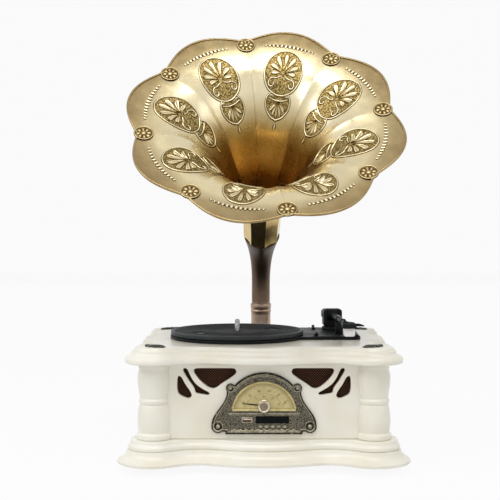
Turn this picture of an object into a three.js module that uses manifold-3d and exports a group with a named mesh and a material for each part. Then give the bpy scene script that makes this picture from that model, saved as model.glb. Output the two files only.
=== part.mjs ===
// Table-top record player with a flower horn, in millimetres, +Z up, its front towards -Y.
// Everything is placed about the middle of the cabinet, on the surface that it stands on, and the
// whole group is moved at the end, so that its origin lies under the middle of its box.
import * as THREE from 'three';
import { mergeVertices } from 'three/addons/utils/BufferGeometryUtils.js';
import Module from 'manifold-3d';

const wasm = await Module();
wasm.setup();

// Sizes that many pieces share
const SEAT_GAP = 0.3;
const CUT_OVERRUN = 1;
const HALF_TURN = Math.PI;
const QUARTER_TURN = Math.PI / 2;
const FULL_TURN = Math.PI * 2;

// Cabinet
const LOBE_X = 148.5;
const LOBE_Y = 123;
const LIP_RADIUS = 40;
const WAIST_DEPTH = 22;
const FRONT_BULGE_DROP = 5.5;
const SIDE_BULGE_DROP = 1.5;
const FRONT_WAIST_X = 86;
const SIDE_WAIST_Y = 66;
const FOOT_HEIGHT = 3;
const FOOT_RADIUS = 11;
const FOOT_INSET = 8;
const PLINTH_HEIGHT = 31;
const PLINTH_SPREAD = 10;
const PLINTH_LEDGE = 18;
const PLINTH_OPENING_X = 276;
const PLINTH_OPENING_Y = 222;
const BOTTOM_BOARD_THICKNESS = 5;
const BOTTOM_BOARD_LIFT = 2;
const COLUMN_HEIGHT = 102;
const COLUMN_RADIUS = 22.9;
const PANEL_THICKNESS = 9;
const PANEL_STEP = 8;
const PANEL_TENON = 8.9;
const LID_THICKNESS = 22;
const LID_INSET = 14;
const ORNAMENT_THICKNESS = 1;

// Front panel: the pierced openings, each drawn on one half and mirrored
const GRILLE_NEAR_X = 38;
const GRILLE_WIDTH = 79.5;
const GRILLE_HEIGHT = 45;
const GRILLE_TOP_GAP = 6;
const GRILLE_CORNER = 3;
const RADIO_OPENING_WIDTH = 86;
const RADIO_OPENING_HEIGHT = 48;
const RADIO_OPENING_RISE = 7.5;
const CLOTH_THICKNESS = 1.2;
const CLOTH_MARGIN = 5;
const SPEAKER_RADIUS = 33;
const SPEAKER_DEPTH = 30;
const SPEAKER_X = 86;

// Radio plate and its controls
const PLATE_THICKNESS = 2.4;
const PLATE_RIM_HEIGHT = 1.3;
const PLATE_RIM_WIDTH = 2;
const PLATE_BOTTOM_RISE = 7;
const PLATE_HALF_WIDTH = 52;
const PLATE_ARCH_RADIUS = 54;
const PLATE_ARCH_RISE = 29.5;
const UPPER_EAR_X = 45;
const UPPER_EAR_RISE = 62;
const UPPER_EAR_RADIUS = 6.5;
const LOWER_EAR_X = 62;
const LOWER_EAR_RISE = 10.5;
const LOWER_EAR_RADIUS = 9;
const LOWER_EAR_FROM = -2.36;
const LOWER_EAR_TO = 0.18;
const UPPER_EAR_FROM = -0.7;
const UPPER_EAR_TO = 2.48;
const PLATE_ARCH_FROM = 0.742;
const EAR_BOSS_RADIUS = 3.2;
const EAR_BOSS_HEIGHT = 2.2;
const DIAL_RADIUS = 42;
const DIAL_ARC_RISE = 27;
const DIAL_SILL_RISE = 33.5;
const DIAL_THICKNESS = 0.8;
const DIAL_RECESS = 1.3;
const KNOB_RISE = 38.5;
const KNOB_RADIUS = 8.2;
const KNOB_LENGTH = 9;
const KNOB_CAP_RADIUS = 5.6;
const KNOB_CAP_HEIGHT = 0.8;
const SPINDLE_RADIUS = 3;
const SPINDLE_LENGTH = 13;
const POINTER_LENGTH = 28;
const POINTER_WIDTH = 1;
const POINTER_THICKNESS = 0.7;
const POINTER_START_ANGLE = 0.1;
const USB_WIDTH = 14.4;
const USB_HEIGHT = 7.2;
const USB_DEPTH = 14;
const USB_WALL = 0.9;
const USB_X = -22.8;
const USB_RISE = 19.5;
const DISPLAY_WIDTH = 44;
const DISPLAY_HEIGHT = 9.2;
const DISPLAY_THICKNESS = 2.6;
const DISPLAY_X = 11.4;
const BUTTON_COUNT = 5;
const BUTTON_WIDTH = 5;
const BUTTON_HEIGHT = 2.8;
const BUTTON_PITCH = 8;
const BUTTON_RISE = 11;
const BUTTON_PROUD = 1.6;
const BUTTON_TRAVEL = 1;
const BUTTON_CLEARANCE = 0.35;
const BOARD_WIDTH = 104;
const BOARD_HEIGHT = 44;
const BOARD_THICKNESS = 1.6;
const BOARD_SET_BACK = 9;
const POST_RADIUS = 2.5;
const SWITCH_HEIGHT = 3;
const TUNER_WIDTH = 22;

// Turntable
const PLATTER_X = -39.3;
const PLATTER_Y = -3;
const PLATTER_RADIUS = 97;
const PLATTER_RIM_WIDTH = 5;
const PLATTER_RIM_HEIGHT = 6.4;
const PLATTER_WEB = 3.4;
const PLATTER_LIFT = 5;
const SUB_RIM_RADIUS = 72;
const SUB_RIM_WALL = 3;
const SUB_RIM_DEPTH = 9;
const SUB_WEB = 1.6;
const HUB_RADIUS = 9;
const PIN_RADIUS = 3.6;
const PIN_PROUD = 17;
const PIN_CLEARANCE = 0.1;
const MAT_THICKNESS = 1.4;
const MAT_WINDOW_TURN = 0.5;
const MAT_WINDOW_SPREAD = 0.24;
const DECK_THICKNESS = 4;
const DECK_MARGIN = 1;
const DECK_RADIUS = PLATTER_RADIUS + DECK_MARGIN;
const DECK_PLATE_LEFT_X = 30;
const DECK_PLATE_REACH = 81.3;
const DECK_PLATE_RIGHT_X = PLATTER_X + PLATTER_RADIUS + DECK_PLATE_REACH;
const DECK_PLATE_FRONT_Y = -41;
const DECK_PLATE_BACK_Y = 97;
const DECK_CORNER = 8;
const WELL_RADIUS = 89;
const WELL_WALL = 2.5;
const WELL_DEPTH = 12;
const BEARING_RADIUS = 8;
const BEARING_DEPTH = 12;
const MOTOR_ANGLE = 2.4;
const MOTOR_RADIUS = 12;
const MOTOR_HEIGHT = 24;
const MOTOR_SHAFT_RADIUS = 1.2;
const PULLEY_RADIUS = 4.2;
const PULLEY_FLANGE = 1.1;
const BELT_THICKNESS = 0.9;
const BELT_WIDTH = 5;

// Tonearm
const ARM_CLEARANCE = 46.9;
const ARM_X = PLATTER_X + PLATTER_RADIUS + ARM_CLEARANCE;
const ARM_Y = 70;
const ARM_LENGTH = 172;
const ARM_REST_ANGLE = 0.072;
const ARM_BASE_RADIUS = 16;
const ARM_BASE_HEIGHT = 5;
const ARM_POST_RADIUS = 5;
const ARM_STUB_RADIUS = 3;
const YOKE_WIDTH = 28;
const YOKE_DEPTH = 22;
const YOKE_HEIGHT = 26;
const YOKE_WALL = 5;
const YOKE_FLOOR = 4;
const ARM_PIVOT_RISE = 16.5;
const ARM_PIVOT_RADIUS = 2;
const ARM_TUBE_RADIUS = 4;
const ARM_TAIL = 16;
const WEIGHT_WIDTH = 26;
const WEIGHT_HEIGHT = 12;
const WEIGHT_LENGTH = 14;
const WEIGHT_OFFSET = 18;
const WEIGHT_CORNER = 2.5;
const HEADSHELL_LENGTH = 34;
const HEADSHELL_WIDTH = 19;
const HEADSHELL_HEIGHT = 6;
const HEADSHELL_DROP = 3;
const FINGER_LIFT_LENGTH = 13;
const FINGER_LIFT_WIDTH = 3;
const FINGER_LIFT_THICKNESS = 1.6;
const CARTRIDGE_WIDTH = 12;
const CARTRIDGE_LENGTH = 20;
const CARTRIDGE_HEIGHT = 8;
const STYLUS_RISE = 3.4;
const STYLUS_RADIUS = 0.6;
const GUARD_WALL = 0.9;
const GUARD_LENGTH = 13;
const GUARD_WIDTH = 15;
const GUARD_FLARE = 1.2;
const ARM_REST_Y = 6;
const ARM_REST_RADIUS = 4;
const ARM_REST_HORN = 5;
const ARM_REST_HORN_WIDTH = 2.8;
const ARM_REST_WIDTH = 5.6;
const ARM_REST_FOOT = 2;
const ARM_REST_GAP = 0.6;
const CUE_CLEARANCE = 21.4;
const CUE_X = ARM_X + CUE_CLEARANCE;
const CUE_Y = 48;
const CUE_LENGTH = 24;
const CUE_RADIUS = 2.2;
const CUE_BLOCK_WIDTH = 9;
const CUE_BLOCK_LENGTH = 16;
const CUE_BLOCK_HEIGHT = 8;
const CUE_EAR = 2.4;
const CUE_FLOOR = 0.8;
const CUE_START_ANGLE = 0.12;
const LEVER_LENGTH = 15;
const LEVER_WIDTH = 5;
const LEVER_THICKNESS = 2.4;
const LEVER_KNOB_HEIGHT = 5;
const LEVER_BOSS_RADIUS = 3.6;
const LEVER_BOSS_DEPTH = 12;
const LEVER_CLEARANCE = 18.3;
const LEVER_X = PLATTER_X + PLATTER_RADIUS + LEVER_CLEARANCE;
const SPEED_LEVER_Y = -14;
const POWER_LEVER_Y = 72;

// Horn
const HORN_X = -5;
const HORN_Y = 109;
const HORN_YAW = 0.029;
const HORN_TILT = 0.8378;
const PETAL_COUNT = 8;
const PETAL_TURN = 0.15;
const PETAL_RADIUS = 192;
const NOTCH_DEPTH = 18.5;
const NOTCH_SET_BACK = 3.5;
const BELL_LENGTH = 168;
const BELL_THROAT_RADIUS = 30.5;
const NECK_LENGTH = 69;
const NECK_END_RADIUS = 25.6;
const HORN_WALL = 1.2;
const RIM_BEAD_RADIUS = 1.9;
const RIM_BEAD_SHARES = [[0.471, 0.992], [1.478, 0.479], [1.365, -0.644], [0.277, -0.946]];
const CREASE_SHARE = 0.02;
const ELBOW_MOUTH_RADIUS = 27.4;
const ELBOW_RADIUS = 14.2;
const ELBOW_WALL = 2;
const ELBOW_STRAIGHT = 16;
const ELBOW_BEND_RADIUS = 119;
const ELBOW_JOINT_RISE = 150.4;
const COLLAR_RADIUS = 15.3;
const COLLAR_HEIGHT = 42;
const COLLAR_RING = 0.8;
const SOCKET_DEPTH = 16;

// Rear panel
const VENT_COUNT = 6;
const VENT_WIDTH = 4;
const VENT_HEIGHT = 34;
const VENT_PITCH = 11;
const INLET_RADIUS = 5.5;
const INLET_BORE = 3;
const INLET_DEPTH = 12;
const JACK_RADIUS = 4.6;
const JACK_BORE = 1.9;
const JACK_FLANGE = 1.6;
const SOCKET_PITCH = 20;
const SOCKET_ROW_X = -70;

// Heights that the stack of pieces gives
const PLINTH_TOP = FOOT_HEIGHT + PLINTH_HEIGHT;
const LID_BOTTOM = PLINTH_TOP + COLUMN_HEIGHT;
const LID_TOP = LID_BOTTOM + LID_THICKNESS;
const MAT_TOP = LID_TOP + PLATTER_LIFT + PLATTER_WEB + MAT_THICKNESS;
const FRONT_FACE_Y = -(LOBE_Y + PANEL_STEP);
const FRONT_BACK_Y = FRONT_FACE_Y + PANEL_THICKNESS;
const PLATE_BOTTOM = PLINTH_TOP + PLATE_BOTTOM_RISE;

// Numbers of steps on round shapes
const STEPS = { small: 8, medium: 14, large: 16, column: 16, platter: 36, petal: 7 };

// Shapes and solids

// One closed surface: shared corners merged, slivers dropped, faces outward.
function closedSurface(geometry) {
  const bare = geometry.clone();
  bare.deleteAttribute('normal');
  bare.deleteAttribute('uv');
  const merged = mergeVertices(bare);
  const place = merged.attributes.position;
  const source = merged.index.array;
  const corners = [];
  let volume = 0;
  const a = new THREE.Vector3();
  const b = new THREE.Vector3();
  const c = new THREE.Vector3();
  for (let i = 0; i < source.length; i += 3) {
    const [p, q, r] = [source[i], source[i + 1], source[i + 2]];
    if (p === q || q === r || r === p) continue;
    a.fromBufferAttribute(place, p);
    b.fromBufferAttribute(place, q);
    c.fromBufferAttribute(place, r);
    volume += a.dot(b.cross(c));
    corners.push(p, q, r);
  }
  if (volume < 0) corners.reverse();
  merged.setIndex(corners);
  return merged;
}

function toSolid(geometry) {
  const surface = closedSurface(geometry);
  const vertProperties = new Float32Array(surface.attributes.position.array);
  const triVerts = new Uint32Array(surface.index.array);
  return new wasm.Manifold(new wasm.Mesh({ numProp: 3, vertProperties, triVerts }));
}

function fromSolid(solid) {
  const mesh = solid.getMesh();
  const geometry = new THREE.BufferGeometry();
  geometry.setAttribute('position', new THREE.BufferAttribute(mesh.vertProperties, 3));
  geometry.setIndex(new THREE.BufferAttribute(mesh.triVerts, 1));
  return geometry;
}

function join(...geometries) {
  return fromSolid(geometries.map(toSolid).reduce((all, next) => all.add(next)));
}

function cut(base, ...tools) {
  return fromSolid(tools.map(toSolid).reduce((left, tool) => left.subtract(tool), toSolid(base)));
}

// A block given by its middle in plan and the height of its underside.
function block(width, depth, height, x, y, base) {
  return new THREE.BoxGeometry(width, depth, height).translate(x, y, base + height / 2);
}

// An upright round bar or disc.
function bar(radius, height, x, y, base, steps = STEPS.medium) {
  const geometry = new THREE.CylinderGeometry(radius, radius, height, steps);
  return geometry.rotateX(QUARTER_TURN).translate(x, y, base + height / 2);
}

// A round bar that lies along Y, from its front end backwards.
function barAlongY(radius, length, x, frontY, z, steps = STEPS.medium) {
  const geometry = new THREE.CylinderGeometry(radius, radius, length, steps);
  return geometry.translate(0, length / 2, 0).translate(x, frontY, z);
}

// A profile of [radius, height] pairs turned about an upright axis.
function turned(profile, steps) {
  const points = profile.map(([radius, height]) => new THREE.Vector2(radius, height));
  return new THREE.LatheGeometry(points, steps).rotateX(QUARTER_TURN);
}

// The same, but closing on itself: a ring with a bore.
function turnedRing(profile, steps) {
  return turned([...profile, profile[0]], steps);
}

// A flat shape drawn in X and Y, given a thickness upwards.
function slab(shape, height, base, curveSteps = STEPS.small) {
  const options = { depth: height, bevelEnabled: false, curveSegments: curveSteps };
  return new THREE.ExtrudeGeometry(shape, options).translate(0, 0, base);
}

// A flat shape drawn in X and Z, given a thickness backwards from its front face.
function sheet(shape, thickness, frontY, curveSteps = STEPS.small) {
  const options = { depth: thickness, bevelEnabled: false, curveSegments: curveSteps };
  const geometry = new THREE.ExtrudeGeometry(shape, options).rotateX(QUARTER_TURN);
  return geometry.translate(0, frontY + thickness, 0);
}

function rectangle(left, right, low, high) {
  const shape = new THREE.Shape();
  shape.moveTo(left, low);
  shape.lineTo(right, low);
  shape.lineTo(right, high);
  shape.lineTo(left, high);
  shape.closePath();
  return shape;
}

// A polygon whose corners are rounded by short curves.
function softPolygon(points, rounding) {
  const shape = new THREE.Shape();
  const count = points.length;
  const corner = (i) => new THREE.Vector2(...points[(i + count) % count]);
  const toward = (from, to) => {
    const step = to.clone().sub(from);
    return from.clone().add(step.setLength(Math.min(rounding, step.length() / 2)));
  };
  for (let i = 0; i < count; i += 1) {
    const start = toward(corner(i), corner(i - 1));
    const end = toward(corner(i), corner(i + 1));
    if (i === 0) shape.moveTo(start.x, start.y);
    else shape.lineTo(start.x, start.y);
    shape.quadraticCurveTo(corner(i).x, corner(i).y, end.x, end.y);
  }
  shape.closePath();
  return shape;
}

function softRectangle(left, right, low, high, rounding) {
  return softPolygon([[left, low], [right, low], [right, high], [left, high]], rounding);
}

// Rings of points joined into a skin that closes on itself both ways.
function ringLoft(rings) {
  const around = rings[0].length;
  const positions = rings.flat().flatMap((point) => [point.x, point.y, point.z]);
  const faces = [];
  for (let i = 0; i < rings.length; i += 1) {
    for (let j = 0; j < around; j += 1) {
      const here = i * around;
      const next = ((i + 1) % rings.length) * around;
      const k = (j + 1) % around;
      faces.push(here + j, here + k, next + k, here + j, next + k, next + j);
    }
  }
  const geometry = new THREE.BufferGeometry();
  geometry.setAttribute('position', new THREE.Float32BufferAttribute(positions, 3));
  geometry.setIndex(faces);
  return geometry;
}

// Rings of points joined into a skin whose two ends are flat caps.
function cappedLoft(rings) {
  const around = rings[0].length;
  const geometry = ringLoft(rings);
  const faces = Array.from(geometry.index.array).slice(0, (rings.length - 1) * around * 6);
  const flat = (ring) => ring.map((point) => new THREE.Vector2(point.x, point.y));
  const last = (rings.length - 1) * around;
  THREE.ShapeUtils.triangulateShape(flat(rings[0]), []).forEach(([p, q, r]) => faces.push(r, q, p));
  THREE.ShapeUtils.triangulateShape(flat(rings[rings.length - 1]), []).forEach(([p, q, r]) => {
    faces.push(last + p, last + q, last + r);
  });
  geometry.setIndex(faces);
  return geometry;
}

// Materials

function surface(color, roughness, metalness) {
  return new THREE.MeshStandardMaterial({ color, roughness, metalness });
}

const ivoryPaint = surface(0xeeeada, 0.45, 0);
const brass = surface(0xa8895a, 0.35, 1);
const polishedBrass = surface(0xc9a24a, 0.2, 1);
const bronze = surface(0x5a3f30, 0.45, 0.8);
const pewter = surface(0x6f6a5c, 0.5, 0.8);
const blackPlastic = surface(0x1c1e20, 0.5, 0);
const blackRubber = surface(0x17191b, 0.85, 0);
const steel = surface(0xb9bcc0, 0.25, 1);
const cloth = surface(0x4a2f26, 0.95, 0);
const creamCard = surface(0xcdbf86, 0.5, 0);
const boardGreen = surface(0x2f5b3a, 0.6, 0);
const whitePlastic = surface(0xe9dfe0, 0.4, 0);
const rawBoard = surface(0xb59a73, 0.8, 0);

const model = new THREE.Group();

function addPiece(parent, name, geometry, material) {
  const mesh = new THREE.Mesh(closedSurface(geometry), material);
  mesh.name = name;
  parent.add(mesh);
  return mesh;
}

// Cabinet outline: arcs that touch each other, so that every offset of it is a true parallel curve

// The radius of the hollow arc that just touches both a round lobe and its own deepest point.
function hollowRadius(sideways, depth, lobeRadius) {
  const inward = lobeRadius - depth;
  return (sideways ** 2 + inward ** 2 - lobeRadius ** 2) / (2 * depth);
}

// The radius of the middle arc that just touches a hollow arc and stands a rise above it.
function bulgeRadius(sideways, rise, hollow) {
  return (sideways ** 2 + rise ** 2) / (2 * rise) - hollow;
}

// The arcs of the right half, from the front's middle to the back's: centre, radius, hollow or not.
function outlineArcs() {
  const waistY = -(LOBE_Y + LIP_RADIUS - WAIST_DEPTH);
  const frontHollow = hollowRadius(LOBE_X - FRONT_WAIST_X, WAIST_DEPTH, LIP_RADIUS);
  const frontBulge = bulgeRadius(FRONT_WAIST_X, WAIST_DEPTH - FRONT_BULGE_DROP, frontHollow);
  const waistX = LOBE_X + LIP_RADIUS - WAIST_DEPTH;
  const sideHollow = hollowRadius(LOBE_Y - SIDE_WAIST_Y, WAIST_DEPTH, LIP_RADIUS);
  const sideBulge = bulgeRadius(SIDE_WAIST_Y, WAIST_DEPTH - SIDE_BULGE_DROP, sideHollow);
  const frontTop = waistY - (WAIST_DEPTH - FRONT_BULGE_DROP);
  const sideTop = waistX + (WAIST_DEPTH - SIDE_BULGE_DROP);
  return [
    { x: 0, y: frontTop + frontBulge, radius: frontBulge, steps: 4 },
    { x: FRONT_WAIST_X, y: waistY - frontHollow, radius: frontHollow, hollow: true, steps: 4 },
    { x: LOBE_X, y: -LOBE_Y, radius: LIP_RADIUS, steps: 8 },
    { x: waistX + sideHollow, y: -SIDE_WAIST_Y, radius: sideHollow, hollow: true, steps: 3 },
    { x: sideTop - sideBulge, y: 0, radius: sideBulge, steps: 4 },
    { x: waistX + sideHollow, y: SIDE_WAIST_Y, radius: sideHollow, hollow: true, steps: 3 },
    { x: LOBE_X, y: LOBE_Y, radius: LIP_RADIUS, steps: 5 },
  ];
}

// The whole outline, moved outwards by an offset, counter-clockwise seen from above.
function outlineAt(offset) {
  const arcs = outlineArcs();
  const right = [];
  arcs.forEach((arc, i) => {
    const radius = arc.radius + (arc.hollow ? -offset : offset);
    const angleTo = (other) => Math.atan2(other.y - arc.y, other.x - arc.x);
    const from = i === 0 ? -QUARTER_TURN : angleTo(arcs[i - 1]);
    let to = i === arcs.length - 1 ? QUARTER_TURN : angleTo(arcs[i + 1]);
    if (arc.hollow && to > from) to -= FULL_TURN;
    if (!arc.hollow && to < from) to += FULL_TURN;
    for (let step = i === 0 ? 0 : 1; step <= arc.steps; step += 1) {
      const angle = from + (to - from) * (step / arc.steps);
      right.push(new THREE.Vector2(arc.x + radius * Math.cos(angle), arc.y + radius * Math.sin(angle)));
    }
  });
  const left = right.slice(1).reverse().map((point) => new THREE.Vector2(-point.x, point.y));
  return [...right, ...left];
}

// A moulding: a profile of [offset, height] pairs led round the outline.
function moulding(profile) {
  return cappedLoft(profile.map(([offset, height]) => (
    outlineAt(offset).map((point) => new THREE.Vector3(point.x, point.y, height)))));
}

// Cabinet pieces

function plinthPiece() {
  const low = FOOT_HEIGHT;
  const spread = PLINTH_SPREAD;
  const ledge = -PLINTH_LEDGE + PLINTH_SPREAD;
  const coveShares = [[1, 0.04], [1, 0.1], [0.74, 0.21], [0.42, 0.36], [0.28, 0.56]];
  const stepShares = [[0.2, 0.6], [0.2, 0.72], [0.04, 0.84], [0, 1]];
  const profile = [...coveShares, ...stepShares].map(([out, up]) => (
    [ledge + (spread - ledge) * out, low + PLINTH_HEIGHT * up]));
  const foot = [ledge + (spread - ledge) * 0.96, low];
  const body = moulding([foot, ...profile]);
  const opening = block(PLINTH_OPENING_X, PLINTH_OPENING_Y, PLINTH_HEIGHT + 2 * CUT_OVERRUN,
    0, 0, low - CUT_OVERRUN);
  return cut(body, opening);
}

function bottomBoardPiece() {
  const width = PLINTH_OPENING_X - 2 * SEAT_GAP;
  const depth = PLINTH_OPENING_Y - 2 * SEAT_GAP;
  return block(width, depth, BOTTOM_BOARD_THICKNESS, 0, 0, FOOT_HEIGHT + BOTTOM_BOARD_LIFT);
}

function footPiece() {
  const rim = FOOT_RADIUS * 0.14;
  const top = FOOT_HEIGHT - SEAT_GAP;
  return turned([[0, 0], [FOOT_RADIUS - rim, 0], [FOOT_RADIUS, rim], [FOOT_RADIUS, top], [0, top]],
    STEPS.medium);
}

// The turned column: base ring, lower barrel, middle ring, upper barrel and top collar.
function columnPiece() {
  const low = PLINTH_TOP + SEAT_GAP;
  const height = COLUMN_HEIGHT - 2 * SEAT_GAP;
  const shares = [
    [1.06, 0], [1.06, 0.07], [0.93, 0.09], [1, 0.23], [0.86, 0.46], [0.93, 0.48], [0.93, 0.525],
    [0.86, 0.54], [1, 0.79], [0.9, 0.92], [0.94, 0.94], [0.94, 1],
  ];
  const side = shares.map(([out, up]) => [COLUMN_RADIUS * out, low + height * up]);
  return turned([[0, low], ...side, [0, low + height]], STEPS.column);
}

// Each column stands on a lobe and has two grooves, which take the ends of the panels.
function groovedColumn(sideX, sideY) {
  const reach = COLUMN_RADIUS * 1.2;
  const slot = PANEL_THICKNESS + 2 * SEAT_GAP;
  const long = reach - (COLUMN_RADIUS - PANEL_TENON) + SEAT_GAP;
  const bottom = PLINTH_TOP - CUT_OVERRUN;
  const tall = COLUMN_HEIGHT + 2 * CUT_OVERRUN;
  const middle = PANEL_STEP - PANEL_THICKNESS / 2;
  const along = -(COLUMN_RADIUS - PANEL_TENON - SEAT_GAP) - long / 2;
  const frontGroove = block(long, slot, tall, sideX * along, sideY * middle, bottom);
  const sideGroove = block(slot, long, tall, sideX * middle, sideY * along, bottom);
  return cut(columnPiece(), frontGroove, sideGroove).translate(sideX * LOBE_X, sideY * LOBE_Y, 0);
}

const PANEL_HALF_X = LOBE_X - COLUMN_RADIUS + PANEL_TENON;
const PANEL_HALF_Y = LOBE_Y - COLUMN_RADIUS + PANEL_TENON;
const PANEL_LOW = PLINTH_TOP + SEAT_GAP;
const PANEL_HIGH = LID_BOTTOM - SEAT_GAP;

// The pierced openings of the left half, as shares of the grille's width and height. The first
// number runs from the middle of the cabinet outwards, the second upwards.
const broadLeafShares = [
  [0.02, 1], [0.7, 1], [0.72, 0.9], [0.66, 0.73], [0.57, 0.56], [0.45, 0.4], [0.35, 0.38],
  [0.24, 0.54], [0.12, 0.67], [0, 0.82], [-0.01, 0.92],
];
const stemShares = [
  [0.83, 1], [0.89, 1], [0.9, 0.93], [0.79, 0.6], [0.7, 0.4], [0.69, 0.25], [0.62, 0.23],
  [0.5, 0.19], [0.45, 0.2], [0.44, 0.26], [0.56, 0.37], [0.67, 0.5], [0.74, 0.66], [0.79, 0.84],
];
const narrowLeafShares = [
  [0.99, 0.77], [0.93, 0.76], [0.86, 0.52], [0.77, 0.3], [0.74, 0.16], [0.8, 0.08], [0.88, 0.13],
  [0.98, 0.22], [1, 0.45],
];

function grilleShape(shares, side) {
  const base = PANEL_HIGH - GRILLE_TOP_GAP - GRILLE_HEIGHT;
  const points = shares.map(([out, up]) => (
    [side * (GRILLE_NEAR_X + GRILLE_WIDTH * out), base + GRILLE_HEIGHT * up]));
  return softPolygon(side > 0 ? points : points.reverse(), GRILLE_CORNER);
}

function frontPanelPiece() {
  const panel = rectangle(-PANEL_HALF_X, PANEL_HALF_X, PANEL_LOW, PANEL_HIGH);
  const openings = [-1, 1].flatMap((side) => (
    [broadLeafShares, stemShares, narrowLeafShares].map((shares) => grilleShape(shares, side))));
  const radioLow = PLATE_BOTTOM + RADIO_OPENING_RISE;
  openings.push(softRectangle(-RADIO_OPENING_WIDTH / 2, RADIO_OPENING_WIDTH / 2, radioLow,
    radioLow + RADIO_OPENING_HEIGHT, GRILLE_CORNER));
  panel.holes.push(...openings);
  return sheet(panel, PANEL_THICKNESS, FRONT_FACE_Y, 2);
}

function sidePanelPiece(side) {
  const x = side * (LOBE_X + PANEL_STEP - PANEL_THICKNESS / 2);
  return block(PANEL_THICKNESS, 2 * PANEL_HALF_Y, PANEL_HIGH - PANEL_LOW, x, 0, PANEL_LOW);
}

const BACK_FACE_Y = LOBE_Y + PANEL_STEP;
const SOCKET_ROW_Z = PLINTH_TOP + COLUMN_HEIGHT * 0.3;

function backPanelPiece() {
  const panel = rectangle(-PANEL_HALF_X, PANEL_HALF_X, PANEL_LOW, PANEL_HIGH);
  const ventLow = PLINTH_TOP + COLUMN_HEIGHT * 0.5;
  const through = PANEL_THICKNESS + 2 * CUT_OVERRUN;
  const inside = BACK_FACE_Y - PANEL_THICKNESS - CUT_OVERRUN;
  const vents = Array.from({ length: VENT_COUNT }, (_, i) => {
    const x = (i - (VENT_COUNT - 1) / 2) * VENT_PITCH;
    return sheet(rectangle(x - VENT_WIDTH / 2, x + VENT_WIDTH / 2, ventLow, ventLow + VENT_HEIGHT), through,
      inside);
  });
  const sockets = [0, 1, 2].map((i) => {
    const radius = (i === 0 ? INLET_RADIUS : JACK_RADIUS) + SEAT_GAP;
    return barAlongY(radius, through, SOCKET_ROW_X - i * SOCKET_PITCH, inside, SOCKET_ROW_Z, STEPS.medium);
  });
  return cut(sheet(panel, PANEL_THICKNESS, BACK_FACE_Y - PANEL_THICKNESS), ...vents, ...sockets);
}

const WELL_SEAT_RADIUS = WELL_RADIUS + WELL_WALL + SEAT_GAP;

// The lid board: an ogee edge all round, a round opening for the platter's well and the seats of
// the horn's elbow and of the tonearm's post.
function lidPiece() {
  const low = LID_BOTTOM;
  const shares = [
    [0.3, 0], [0, 0.14], [0, 0.3], [0.18, 0.46], [0.6, 0.62], [0.68, 0.84], [1, 1],
  ];
  const board = moulding(shares.map(([inward, up]) => [-LID_INSET * inward, low + LID_THICKNESS * up]));
  const through = LID_THICKNESS + 2 * CUT_OVERRUN;
  const bottom = low - CUT_OVERRUN;
  const wellHole = bar(WELL_SEAT_RADIUS, through, PLATTER_X, PLATTER_Y, bottom, STEPS.platter);
  const socketHole = bar(COLLAR_RADIUS + 2 * SEAT_GAP, SOCKET_DEPTH + CUT_OVERRUN, HORN_X, HORN_Y,
    LID_TOP - SOCKET_DEPTH, STEPS.large);
  const postHole = bar(ARM_POST_RADIUS + SEAT_GAP, through, ARM_X, ARM_Y, bottom, STEPS.medium);
  const leverHoles = [SPEED_LEVER_Y, POWER_LEVER_Y].map((y) => (
    bar(LEVER_BOSS_RADIUS + SEAT_GAP, through, LEVER_X, y, bottom, STEPS.small)));
  return cut(board, wellHole, socketHole, postHole, ...leverHoles);
}

// A pierced corner ornament: a fan of openings in a fan-shaped leaf.
function cornerOrnamentPiece(sideX, sideY) {
  const size = LIP_RADIUS - LID_INSET * 0.6;
  const leaf = new THREE.Shape();
  const lobes = 5;
  const at = (radius, angle) => [radius * Math.cos(angle), radius * Math.sin(angle)];
  const first = -0.35;
  const sweep = QUARTER_TURN - 2 * first;
  leaf.moveTo(-size * 0.35, -size * 0.35);
  for (let i = 0; i < lobes; i += 1) {
    const from = first + (sweep * i) / lobes;
    const to = first + (sweep * (i + 1)) / lobes;
    if (i === 0) leaf.lineTo(...at(size * 0.7, from));
    leaf.quadraticCurveTo(...at(size * 1.02, (from + to) / 2), ...at(size * 0.7, to));
  }
  leaf.closePath();
  for (let i = 1; i < lobes - 1; i += 1) {
    const angle = first + (sweep * (i + 0.5)) / lobes;
    const petal = new THREE.Path();
    petal.moveTo(...at(size * 0.2, angle));
    petal.quadraticCurveTo(...at(size * 0.45, angle - 0.2), ...at(size * 0.66, angle));
    petal.quadraticCurveTo(...at(size * 0.45, angle + 0.2), ...at(size * 0.2, angle));
    leaf.holes.push(petal);
  }
  const leafSolid = slab(leaf, ORNAMENT_THICKNESS, 0, 3).scale(sideX, sideY, 1);
  return leafSolid.translate(sideX * LOBE_X, sideY * LOBE_Y, LID_TOP + SEAT_GAP);
}

// Sound: cloth and loudspeakers behind the pierced openings

const CLOTH_Y = FRONT_BACK_Y + SEAT_GAP;
const SPEAKER_Y = CLOTH_Y + CLOTH_THICKNESS + SEAT_GAP;
const SPEAKER_Z = (PANEL_LOW + PANEL_HIGH) / 2 + SPEAKER_RADIUS / 2;

function clothPiece(side) {
  const low = PANEL_HIGH - GRILLE_TOP_GAP - GRILLE_HEIGHT - CLOTH_MARGIN * 0.4;
  const near = side * (GRILLE_NEAR_X - CLOTH_MARGIN);
  const far = side * (GRILLE_NEAR_X + GRILLE_WIDTH + CLOTH_MARGIN);
  const [left, right] = side > 0 ? [near, far] : [far, near];
  return sheet(rectangle(left, right, low, PANEL_HIGH - SEAT_GAP), CLOTH_THICKNESS, CLOTH_Y);
}

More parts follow.
